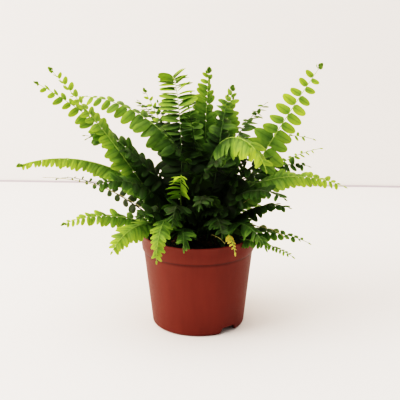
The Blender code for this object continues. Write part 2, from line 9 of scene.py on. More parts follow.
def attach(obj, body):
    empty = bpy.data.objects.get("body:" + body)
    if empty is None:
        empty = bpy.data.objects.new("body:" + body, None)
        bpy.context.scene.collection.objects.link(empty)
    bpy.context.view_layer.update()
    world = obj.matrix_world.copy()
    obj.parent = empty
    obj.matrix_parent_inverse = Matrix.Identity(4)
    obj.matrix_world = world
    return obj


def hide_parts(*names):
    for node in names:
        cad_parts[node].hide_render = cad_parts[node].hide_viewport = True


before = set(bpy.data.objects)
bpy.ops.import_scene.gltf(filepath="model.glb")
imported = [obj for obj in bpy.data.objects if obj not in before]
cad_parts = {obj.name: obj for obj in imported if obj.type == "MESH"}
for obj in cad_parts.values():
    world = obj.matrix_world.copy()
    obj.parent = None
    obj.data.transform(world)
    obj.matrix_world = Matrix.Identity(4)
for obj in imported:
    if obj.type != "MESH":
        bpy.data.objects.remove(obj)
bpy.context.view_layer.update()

GAP = 0.0003
POT_HEIGHT = 0.100
RIM_RADIUS = 0.060
BASE_RADIUS = 0.048
POT_WALL = 0.0016
COLLAR_HEIGHT = 0.018
COLLAR_FLARE = 0.0018
COLLAR_STEP = 0.0014
CORNER_RADIUS = 0.0035
CHANNEL_DEPTH = 0.0075
DISC_RADIUS = 0.030
FOOT_WIDTH = 0.0018
DRAFT = 0.0008
DRAIN_COUNT = 6
DRAIN_RADIUS = 0.0035
DRAIN_HEADING = 11.0
NOTCH_WIDTH = 0.030
NOTCH_HEIGHT = 0.0070
NOTCH_HEADINGS = (-49.0, 131.0)
LIP_BEAD = 0.0003
GATE_RADIUS = 0.0035
EDGE_BREAK = 0.0004

COLLAR_FOOT = POT_HEIGHT - COLLAR_HEIGHT
BODY_TOP = RIM_RADIUS - COLLAR_FLARE - COLLAR_STEP
FOOT_INSIDE = BASE_RADIUS - CORNER_RADIUS - FOOT_WIDTH


def linear(hex_colour):
    """An sRGB hex colour as linear red, green, blue and alpha."""
    parts = [int(hex_colour[i:i + 2], 16) / 255 for i in (1, 3, 5)]
    return (*(c / 12.92 if c <= 0.04045 else ((c + 0.055) / 1.055) ** 2.4 for c in parts), 1.0)


def wire(tree, node, sockets):
    """Gives a node's sockets their values, or links them to a socket or a node's first live output."""
    for name, value in sockets.items():
        if isinstance(value, bpy.types.Node):
            value = next(output for output in value.outputs if output.enabled)
        if isinstance(value, bpy.types.NodeSocket):
            tree.links.new(value, node.inputs[name])
        else:
            node.inputs[name].default_value = value


def put(tree, kind, sockets=None, stops=None, **settings):
    """Adds a shader node, with its settings, its sockets' values or links, and its ramp's stops."""
    made = tree.nodes.new("ShaderNode" + kind)
    for name, value in settings.items():
        setattr(made, name, value)
    wire(tree, made, sockets or {})
    for index, (place, colour) in enumerate(stops or ()):
        ramp = made.color_ramp.elements
        stop = ramp[index] if index < len(ramp) else ramp.new(place)
        stop.position = place
        stop.color = linear(colour)
    return made


def begin_material(name):
    """A new material, with its node tree, its shader, and the place on the piece in metres."""
    made = bpy.data.materials.new(name)
    made.use_nodes = True
    tree = made.node_tree
    return made, tree, tree.nodes["Principled BSDF"], put(tree, "TexCoord").outputs["Object"]


def select_only(piece):
    bpy.ops.object.select_all(action="DESELECT")
    piece.select_set(True)
    bpy.context.view_layer.objects.active = piece


def turn_shell(name, profile, segments):
    """A closed round body: a disc is extruded and resized ring by ring along (radius, height)."""
    bpy.ops.object.select_all(action="DESELECT")
    radius, height = profile[0]
    bpy.ops.mesh.primitive_circle_add(vertices=segments, radius=radius, fill_type="NGON",
                                      location=(0, 0, height))
    made = bpy.context.object
    made.name = name
    bpy.ops.object.transform_apply(location=True)
    bpy.ops.object.mode_set(mode="EDIT")
    bpy.ops.mesh.select_all(action="SELECT")
    for next_radius, next_height in profile[1:]:
        bpy.ops.mesh.extrude_region_move(TRANSFORM_OT_translate={"value": (0, 0, next_height - height)})
        share = next_radius / radius
        bpy.ops.transform.resize(value=(share, share, 1), center_override=(0, 0, 0))
        radius, height = next_radius, next_height
    bpy.ops.mesh.select_all(action="SELECT")
    bpy.ops.mesh.normals_make_consistent(inside=False)
    bpy.ops.object.mode_set(mode="OBJECT")
    return made


def arc(centre, radius, start, end, count):
    angles = np.radians(np.linspace(start, end, count))
    return [(centre[0] + radius * math.cos(a), centre[1] + radius * math.sin(a)) for a in angles]


pot_underside = [
    (GATE_RADIUS, EDGE_BREAK),
    (GATE_RADIUS + 0.0005, 0.0),
    (DISC_RADIUS - 0.0005, 0.0),
    (DISC_RADIUS, EDGE_BREAK),
    (DISC_RADIUS + DRAFT, CHANNEL_DEPTH),
    (FOOT_INSIDE - DRAFT, CHANNEL_DEPTH),
    (FOOT_INSIDE, EDGE_BREAK),
    (FOOT_INSIDE + EDGE_BREAK, 0.0),
]
pot_outside = [
    *arc((BASE_RADIUS - CORNER_RADIUS, CORNER_RADIUS), CORNER_RADIUS, -90, 0, 7),
    *((np.interp(z, [CORNER_RADIUS, COLLAR_FOOT], [BASE_RADIUS, BODY_TOP]), z)
      for z in np.linspace(0.012, COLLAR_FOOT - COLLAR_STEP - 0.001, 7)),
    (BODY_TOP - 0.00005, COLLAR_FOOT - COLLAR_STEP),
    (RIM_RADIUS - COLLAR_FLARE - 0.0003, COLLAR_FOOT - 0.0001),
    (RIM_RADIUS - COLLAR_FLARE, COLLAR_FOOT + 0.0003),
    (RIM_RADIUS - 0.0010, COLLAR_FOOT + 0.009),
    (RIM_RADIUS - LIP_BEAD - 0.0003, POT_HEIGHT - 0.0028),
    (RIM_RADIUS - LIP_BEAD, POT_HEIGHT - 0.0022),
]
pot_lip = arc((RIM_RADIUS - POT_WALL / 2, POT_HEIGHT - POT_WALL / 2), POT_WALL / 2, 0, 180, 8)
pot_inside = [
    (RIM_RADIUS - POT_WALL - 0.0008, COLLAR_FOOT + 0.010),
    (BODY_TOP + COLLAR_STEP - POT_WALL, COLLAR_FOOT + 2 * COLLAR_STEP),
    (BODY_TOP - POT_WALL, COLLAR_FOOT),
    (BASE_RADIUS - POT_WALL + 0.0006, CHANNEL_DEPTH + POT_WALL),
    (DISC_RADIUS + DRAFT - POT_WALL, CHANNEL_DEPTH + POT_WALL),
    (DISC_RADIUS - POT_WALL, POT_WALL),
    (GATE_RADIUS, POT_WALL),
]
pot = turn_shell("nursery_pot", pot_underside + pot_outside + pot_lip + pot_inside, 128)


def cut_away(target, cutter):
    """Cuts one mesh out of another and removes the cutter."""
    select_only(target)
    cut = target.modifiers.new("cut", "BOOLEAN")
    cut.object = cutter
    cut.solver = "EXACT"
    bpy.ops.object.modifier_apply(modifier="cut")
    bpy.data.objects.remove(cutter)


for index in range(DRAIN_COUNT):
    heading = math.radians(DRAIN_HEADING + index * 360.0 / DRAIN_COUNT)
    middle = (DISC_RADIUS + FOOT_INSIDE) / 2
    bpy.ops.object.select_all(action="DESELECT")
    bpy.ops.mesh.primitive_cylinder_add(
        vertices=24, radius=DRAIN_RADIUS, depth=6 * POT_WALL,
        location=(middle * math.cos(heading), middle * math.sin(heading), CHANNEL_DEPTH + POT_WALL / 2))
    cut_away(pot, bpy.context.object)
for heading in NOTCH_HEADINGS:
    bpy.ops.object.select_all(action="DESELECT")
    bpy.ops.mesh.primitive_cube_add(size=1, location=(BASE_RADIUS - CORNER_RADIUS, 0, 0))
    notch = bpy.context.object
    notch.scale = (CORNER_RADIUS + 4 * FOOT_WIDTH, NOTCH_WIDTH, 2 * NOTCH_HEIGHT)
    bpy.ops.object.transform_apply(location=True, scale=True)
    for vertex in notch.data.vertices:
        if vertex.co.z > 0:
            vertex.co.y *= 1 - 2 * NOTCH_HEIGHT / NOTCH_WIDTH
    bpy.ops.object.mode_set(mode="EDIT")
    bpy.ops.mesh.select_all(action="SELECT")
    bpy.ops.transform.rotate(value=-math.radians(heading), orient_axis="Z", center_override=(0, 0, 0))
    bpy.ops.object.mode_set(mode="OBJECT")
    cut_away(pot, notch)
select_only(pot)
bpy.ops.object.shade_smooth_by_angle(angle=math.radians(32))

# Polypropylene, injection moulded against a finely blasted steel cavity: an even brick red with a
# satin sheen, a faint flow streak in its colour, and dull rubbed bands where pots were nested. A band
# of painted shade darkens the corner under the collar.
COLLAR_SHADE_HEIGHT = 0.0042
POT_RED = "#642B20"
POT_DARK = "#57241A"
POT_RUBBED = "#6E372B"
pot_plastic, tree, shader, place = begin_material("moulded_polypropylene_brick_red")
flow = put(tree, "Mapping", {"Vector": place, "Scale": (1.0, 1.0, 0.25)}).outputs["Vector"]
streaks = put(tree, "TexNoise", {"Vector": flow, "Scale": 55.0, "Detail": 4.0, "Roughness": 0.6})
plastic_colour = put(tree, "ValToRGB", {"Fac": streaks}, stops=[(0.30, POT_DARK), (0.72, POT_RED)])
scuffs = put(tree, "TexNoise", {"Vector": place, "Scale": 420.0, "Detail": 5.0, "Roughness": 0.7})
rubbed = put(tree, "ValToRGB", {"Fac": scuffs}, stops=[(0.60, "#000000"), (0.74, "#FFFFFF")])
rub_share = put(tree, "Math", {0: rubbed, 1: 0.22}, operation="MULTIPLY")
worn = put(tree, "Mix", {0: rub_share, 6: plastic_colour, 7: linear(POT_RUBBED)}, data_type="RGBA")
# A band of painted shade darkens the pot just under the collar.
height = put(tree, "SeparateXYZ", {"Vector": place}).outputs["Z"]
under_collar = put(tree, "MapRange", {"Value": height, "From Min": COLLAR_FOOT - COLLAR_SHADE_HEIGHT,
                                      "From Max": COLLAR_FOOT + 0.0004})
painted_collar_shade = put(tree, "ValToRGB", {"Fac": under_collar},
            stops=[(0.0, "#FFFFFF"), (0.50, "#D2C9C4"), (0.86, "#A99E98"), (1.0, "#FFFFFF")])
worn_with_collar_shade = put(tree, "Mix", {0: 1.0, 6: worn, 7: painted_collar_shade}, data_type="RGBA", blend_type="MULTIPLY")
gloss = put(tree, "MapRange", {"Value": scuffs, "From Min": 0.3, "From Max": 0.75,
                               "To Min": 0.46, "To Max": 0.60})
# The blasted cavity leaves a grain of about 0.4 mm.
grain = put(tree, "TexNoise", {"Vector": place, "Scale": 2400.0, "Detail": 2.0})
dimples = put(tree, "Bump", {"Height": grain, "Strength": 0.10, "Distance": 0.0002})
wire(tree, shader, {"Base Color": worn_with_collar_shade, "Roughness": gloss, "IOR": 1.49,
                    "Specular IOR Level": 0.22, "Normal": dimples})
pot.data.materials.append(pot_plastic)
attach(pot, "root")
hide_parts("pot")

# The peat: a dark, moist mix of peat and bark fines, filled to 9 mm under the lip and pressed by hand.
# Its top is crumbly and rises a little towards the crowns.
SOIL_BELOW_RIM = 0.009
CROWN_RADIUS = 0.0145
CROWN_HEIGHT = 0.007
CROWN_EDGE = 0.0015
CROWN_SPACE = 0.002
SOIL_LEVEL = POT_HEIGHT - SOIL_BELOW_RIM
SOIL_EDGE = 0.0566

soil_side = [
    (DISC_RADIUS - POT_WALL - GAP, POT_WALL + GAP),
    (DISC_RADIUS + DRAFT - POT_WALL - GAP, CHANNEL_DEPTH + POT_WALL + GAP),
    (BASE_RADIUS - POT_WALL + 0.0002 - GAP, CHANNEL_DEPTH + POT_WALL + GAP),
    (BODY_TOP - POT_WALL - GAP, COLLAR_FOOT),
    (BODY_TOP + COLLAR_STEP - POT_WALL - GAP, COLLAR_FOOT + 2 * COLLAR_STEP),
    (SOIL_EDGE, SOIL_LEVEL - 0.0012),
]
soil_top = [(r, SOIL_LEVEL) for r in np.linspace(SOIL_EDGE - 0.0006, 0.0016, 34)]
peat = turn_shell("peat", soil_side + soil_top, 144)


def crumble(x, y):
    """The height of the crumbly surface over the peat's level."""
    coarse = noise.noise(Vector((x * 90, y * 90, 1.0))) * 0.0012
    clods = abs(noise.noise(Vector((x * 330, y * 330, 4.0)))) * 0.0011
    fine = noise.noise(Vector((x * 900, y * 900, 8.0))) * 0.0004
    return coarse + clods + fine


for vertex in peat.data.vertices:
    if vertex.co.z > SOIL_LEVEL - GAP:
        vertex.co.z += crumble(vertex.co.x, vertex.co.y)
select_only(peat)
bpy.ops.object.shade_smooth_by_angle(angle=math.radians(50))

# Loose crumbs of peat and bark lie on it. Three are modelled, and each is copied many times.
crumb_shapes = []
for kind in range(3):
    bpy.ops.object.select_all(action="DESELECT")
    bpy.ops.mesh.primitive_ico_sphere_add(subdivisions=1, radius=0.5)
    crumb = bpy.context.object
    bpy.ops.object.mode_set(mode="EDIT")
    bpy.ops.mesh.select_all(action="SELECT")
    bpy.ops.transform.resize(value=(1.0, (0.75, 0.45, 0.85)[kind], (0.6, 0.35, 0.8)[kind]))
    bpy.ops.transform.vertex_random(offset=0.11, seed=kind + 3)
    bpy.ops.object.mode_set(mode="OBJECT")
    crumb_shapes.append((np.array([v.co for v in crumb.data.vertices]),
                         [tuple(f.vertices) for f in crumb.data.polygons]))
    bpy.data.objects.remove(crumb)


def random_turns(rng, count):
    """Random rotation matrices, from random unit quaternions."""
    w, x, y, z = (q := rng.normal(size=(4, count))) / np.linalg.norm(q, axis=0)
    return np.stack([
        np.stack([1 - 2 * (y * y + z * z), 2 * (x * y - z * w), 2 * (x * z + y * w)], -1),
        np.stack([2 * (x * y + z * w), 1 - 2 * (x * x + z * z), 2 * (y * z - x * w)], -1),
        np.stack([2 * (x * z - y * w), 2 * (y * z + x * w), 1 - 2 * (x * x + y * y)], -1)], 1)


def add_mesh(name, points, faces):
    mesh = bpy.data.meshes.new(name)
    mesh.from_pydata([tuple(p) for p in points], [], faces)
    made = bpy.data.objects.new(name, mesh)
    bpy.context.scene.collection.objects.link(made)
    return made


CRUMBS = 1500
rng = np.random.default_rng(11)
crumb_points, crumb_faces = [], []
for turn in random_turns(rng, CRUMBS):
    radius = SOIL_EDGE * math.sqrt(rng.uniform(0.0, 0.97))
    angle = rng.uniform(0, 2 * math.pi)
    x, y = radius * math.cos(angle), radius * math.sin(angle)
    size = 0.0007 + 0.0022 * rng.random() ** 2.5
    shape, faces = crumb_shapes[rng.integers(3)]
    z = SOIL_LEVEL + crumble(x, y) + size * 0.12
    start = len(crumb_points)
    crumb_points += list(shape @ turn.T * size + (x, y, z))
    crumb_faces += [tuple(start + i for i in face) for face in faces]
crumbs = add_mesh("peat_crumbs", crumb_points, crumb_faces)

# Moist peat: nearly black brown, rough, with paler dry crumbs. Grains of about 1 mm.
moist_peat, tree, shader, place = begin_material("moist_peat")
grains = put(tree, "TexVoronoi", {"Vector": place, "Scale": 850.0})
damp = put(tree, "TexNoise", {"Vector": place, "Scale": 130.0, "Detail": 6.0, "Roughness": 0.7})
crumb_mix = put(tree, "Mix", {0: 0.45, 6: damp.outputs["Color"], 7: grains.outputs["Color"]},
                data_type="RGBA")
peat_colour = put(tree, "ValToRGB", {"Fac": crumb_mix},
                  stops=[(0.32, "#0D0907"), (0.55, "#1D1510"), (0.70, "#33261B"), (0.84, "#54402C")])
wet = put(tree, "MapRange", {"Value": damp, "To Min": 0.62, "To Max": 1.0})
peat_bump = put(tree, "Bump", {"Height": crumb_mix, "Strength": 0.9, "Distance": 0.0006})
wire(tree, shader, {"Base Color": peat_colour, "Roughness": wet, "Normal": peat_bump})
for piece in (peat, crumbs):
    piece.data.materials.append(moist_peat)
    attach(piece, "root")
    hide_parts("soil")

# Fibres: dry roots, sphagnum strands and a few slivers of bark, 5 to 14 mm long,
# lying loosely on the peat as they came out of the bag.
FIBRES = 150
FIBRE_RADIUS = 0.00016
FIBRE_FIELD = 0.054
rng = np.random.default_rng(23)


def start_threads(name, radius, roundness):
    """A curve whose lines are round threads of this radius."""
    lines = bpy.data.curves.new(name, "CURVE")
    lines.dimensions = "3D"
    lines.bevel_depth = radius
    lines.bevel_resolution = roundness
    lines.use_fill_caps = True
    return lines


def finish_threads(lines):
    """The same threads as one mesh, closed, with its faces outwards."""
    threads = bpy.data.objects.new(lines.name, lines)
    bpy.context.scene.collection.objects.link(threads)
    select_only(threads)
    bpy.ops.object.convert(target="MESH")
    threads = bpy.context.object
    bpy.ops.object.mode_set(mode="EDIT")
    bpy.ops.mesh.select_all(action="SELECT")
    bpy.ops.mesh.remove_doubles(threshold=0.00001)
    bpy.ops.mesh.normals_make_consistent(inside=False)
    bpy.ops.object.mode_set(mode="OBJECT")
    bpy.ops.object.shade_smooth_by_angle(angle=math.radians(60))
    return threads


fibre_lines = start_threads("peat_fibres", FIBRE_RADIUS, 0)
for _ in range(FIBRES):
    radius = FIBRE_FIELD * math.sqrt(rng.uniform(0.02, 1.0))
    angle = rng.uniform(0, 2 * math.pi)
    x, y = radius * math.cos(angle), radius * math.sin(angle)
    heading = rng.uniform(0, 2 * math.pi)
    bend = rng.normal(0, 0.35)
    step = rng.uniform(0.005, 0.014) / 6
    strand = fibre_lines.splines.new("POLY")
    strand.points.add(6)
    for number, point in enumerate(strand.points):
        lift = 0.0006 + 0.0009 * math.sin(number / 6 * math.pi)
        point.co = (x, y, SOIL_LEVEL + crumble(x, y) + lift, 1.0)
        point.radius = 1.0 - 0.1 * number
        x += step * math.cos(heading)
        y += step * math.sin(heading)
        heading += bend
        if math.hypot(x, y) > FIBRE_FIELD + 0.0015:
            x, y = x * 0.98, y * 0.98
fibres = finish_threads(fibre_lines)

# Dry plant fibre: straw to dark brown, dull.
dry_fibre, tree, shader, place = begin_material("dry_root_fibre")
patches = put(tree, "TexNoise", {"Vector": place, "Scale": 160.0, "Detail": 3.0})
fibre_colour = put(tree, "ValToRGB", {"Fac": patches},
                   stops=[(0.35, "#2A1D12"), (0.55, "#5B4229"), (0.72, "#A38A60")])
wire(tree, shader, {"Base Color": fibre_colour, "Roughness": 0.8})
fibres.data.materials.append(dry_fibre)
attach(fibres, "root")
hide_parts("soil")

# The crowns: three clumps where the fronds rise. Each is a low dome of old leaf bases, wrapped in
# brown papery scales that grow from it like roof tiles, with the stubs of fronds that were cut away.
CROWN_HEADINGS = {"left": 197.0, "right": 317.0, "back": 77.0}
SCALES_PER_CROWN = 130
STUBS_PER_CROWN = 9
STUB_RADIUS = 0.0009
STUB_LENGTH = 0.0052
STUB_LEAN = 0.35


def crown_offset():
    return (2 * CROWN_RADIUS + CROWN_SPACE) / math.sqrt(3.0)


def crown_centre(crown):
    heading = math.radians(CROWN_HEADINGS[crown])
    return Vector((crown_offset() * math.cos(heading), crown_offset() * math.sin(heading),
                   SOIL_LEVEL + GAP))


def crown_top(radius):
    return CROWN_EDGE + CROWN_HEIGHT * (1.0 - (radius / CROWN_RADIUS) ** 2)


# One scale: a small grid is narrowed to a point, given a keel and a thickness.
bpy.ops.object.select_all(action="DESELECT")
bpy.ops.mesh.primitive_grid_add(x_subdivisions=2, y_subdivisions=3, size=1, location=(0, 0.5, 0))
scale_piece = bpy.context.object
bpy.ops.object.transform_apply(location=True)
scale_half_width = {0: 0.7, 1: 1.0, 2: 0.62, 3: 0.06}
for vertex in scale_piece.data.vertices:
    row = round(vertex.co.y * 3)
    vertex.co.z = (0.12 - abs(vertex.co.x) * 0.5) * (1 - vertex.co.y) + 0.18 * vertex.co.y ** 2
    vertex.co.x *= scale_half_width[row]
thicken = scale_piece.modifiers.new("thickness", "SOLIDIFY")
thicken.thickness = 0.06
bpy.ops.object.modifier_apply(modifier="thickness")
scale_points = np.array([v.co for v in scale_piece.data.vertices])
scale_faces = [tuple(f.vertices) for f in scale_piece.data.polygons]
bpy.data.objects.remove(scale_piece)

# Old leaf base: brown, fibrous and dull, with lighter torn edges. Fibres run 0.3 mm apart.
leaf_base, tree, shader, place = begin_material("old_leaf_base")
husk = put(tree, "TexNoise", {"Vector": place, "Scale": 300.0, "Detail": 5.0, "Roughness": 0.65})
husk_colour = put(tree, "ValToRGB", {"Fac": husk},
                  stops=[(0.30, "#24170D"), (0.50, "#4A3119"), (0.66, "#6F4E2B"), (0.80, "#8F6E42")])
strands = put(tree, "TexNoise", {"Vector": place, "Scale": 1600.0, "Detail": 3.0})
husk_bump = put(tree, "Bump", {"Height": strands, "Strength": 0.6, "Distance": 0.0003})
wire(tree, shader, {"Base Color": husk_colour, "Roughness": 0.78, "Normal": husk_bump})

for number, crown in enumerate(CROWN_HEADINGS):
    dome = turn_shell(f"crown_dome_{crown}",
                      [(CROWN_RADIUS * 0.5, 0.0), (CROWN_RADIUS, 0.0)]
                      + [(r, crown_top(r)) for r in np.linspace(CROWN_RADIUS, 0.0006, 12)], 40)
    for vertex in dome.data.vertices:
        if vertex.co.z > 0.0005:
            vertex.co.z += noise.noise(vertex.co * 300) * 0.0008
        vertex.co += crown_centre(crown)
    rng = np.random.default_rng(40 + number)
    points, faces = [], []
    for _ in range(SCALES_PER_CROWN):
        radius = CROWN_RADIUS * math.sqrt(rng.uniform(0.02, 0.95))
        angle = rng.uniform(0, 2 * math.pi)
        away = np.array([math.cos(angle), math.sin(angle), 0.0])
        slope = 2 * CROWN_HEIGHT * radius / CROWN_RADIUS ** 2
        normal = np.array([away[0] * slope, away[1] * slope, 1.0])
        normal /= np.linalg.norm(normal)
        lean = rng.normal(0, 0.5)
        around = np.array([-away[1], away[0], 0.0])
        along = away * math.cos(lean) + around * math.sin(lean)
        along = along - normal * along.dot(normal) + normal * rng.uniform(0.3, 1.1)
        along /= np.linalg.norm(along)
        across = np.cross(along, normal)
        across /= np.linalg.norm(across)
        up = np.cross(across, along)
        length = rng.uniform(0.0022, 0.0046)
        width = length * rng.uniform(0.28, 0.42)
        root = np.array(crown_centre(crown)) + away * radius + [0, 0, crown_top(radius) - 0.0004]
        start = len(points)
        points += list(root + np.outer(scale_points[:, 0] * width, across)
                       + np.outer(scale_points[:, 1] * length, along)
                       + np.outer(scale_points[:, 2] * width, up))
        faces += [tuple(start + i for i in face) for face in scale_faces]
    scales = add_mesh(f"crown_scales_{crown}", points, faces)
    stubs = []
    for _ in range(STUBS_PER_CROWN):
        radius = CROWN_RADIUS * rng.uniform(0.35, 0.9)
        angle = rng.uniform(0, 2 * math.pi)
        foot = crown_centre(crown) + Vector((radius * math.cos(angle), radius * math.sin(angle),
                                             crown_top(radius)))
        bpy.ops.object.select_all(action="DESELECT")
        lean = (rng.normal(0, STUB_LEAN), rng.normal(0, STUB_LEAN), 0)
        bpy.ops.mesh.primitive_cylinder_add(
            vertices=8, radius=STUB_RADIUS, depth=STUB_LENGTH, location=foot, rotation=lean)
        stub = bpy.context.object
        bpy.ops.object.transform_apply(location=True, rotation=True)
        bpy.ops.object.mode_set(mode="EDIT")
        bpy.ops.mesh.select_all(action="DESELECT")
        stub_mesh = bmesh.from_edit_mesh(stub.data)
        top = max(stub_mesh.faces, key=lambda face: face.calc_center_median().z)
        top.select_set(True)
        bpy.ops.mesh.inset(thickness=0.0003)
        bpy.ops.transform.translate(value=(0, 0, -0.0007))
        bpy.ops.mesh.select_all(action="SELECT")
        bpy.ops.transform.vertex_random(offset=0.00014, seed=len(stubs))
        bpy.ops.object.mode_set(mode="OBJECT")
        stubs.append(stub)
    select_only(dome)
    for part in (scales, *stubs):
        part.select_set(True)
    bpy.ops.object.join()
    dome.name = f"crown_clump_{crown}"
    bpy.ops.object.shade_smooth_by_angle(angle=math.radians(40))
    dome.data.materials.clear()
    dome.data.materials.append(leaf_base)
    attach(dome, "root")
    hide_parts(f"crown_{crown}")

# The fronds: each is one leaf of the fern, a wiry stalk that becomes a midrib with two rows of leaflets.
# They grow from the crowns, unroll from the foot to the tip, and stay yellow-green until they harden.
# Their tones are partly painted light and shade: the fronds of the shaded middle are given a darker
# tone, and the outer tips a paler one where light shines through them.
from dataclasses import dataclass

STALK_RADIUS = 0.0007
FOOT_SPACE = 0.0031
OUTER_FOOT = 0.85


@dataclass
class Stem:
    """A frond's midrib or a runner: where it starts, how it bends, and what it carries."""

    name: str
    crown: str
    heading: float
    rise: float
    end: float
    length: float
    swing: float = 0.0
    bend: float = 1.3
    roll: float = 0.0
    leaflet: float = 0.018
    pitch: float = 0.009
    bare: float = 0.25
    fold: float = 18.0
    tip_fold: float = 10.0
    forward: float = 18.0
    tip_size: float = 0.30
    dense: float = 1.5
    shape: str = "oblong"
    # bright and tip_bright: the leaf tone at the foot and at the tip, partly age and partly painted
    # light and shade.
    bright: float = 0.35
    tip_bright: float = 0.75
    bud: float = 0.0
    wide: float = 1.0
    curl: float = 24.0
    tilt: float = 6.0
    loose: float = 1.0


def inner_frond(name, crown, heading, rise, end, length, roll, leaflet, bright, tip_bright, **other):
    """A frond of the dense middle: leafy almost from its foot, with loosely set leaflets; the low tone
    it is given is painted shade.
    """
    return Stem(name, crown, heading, rise, end, length, roll=roll, leaflet=leaflet, bright=bright,
                tip_bright=tip_bright, **{"bare": 0.08, "fold": 30, "loose": 2.0, **other})


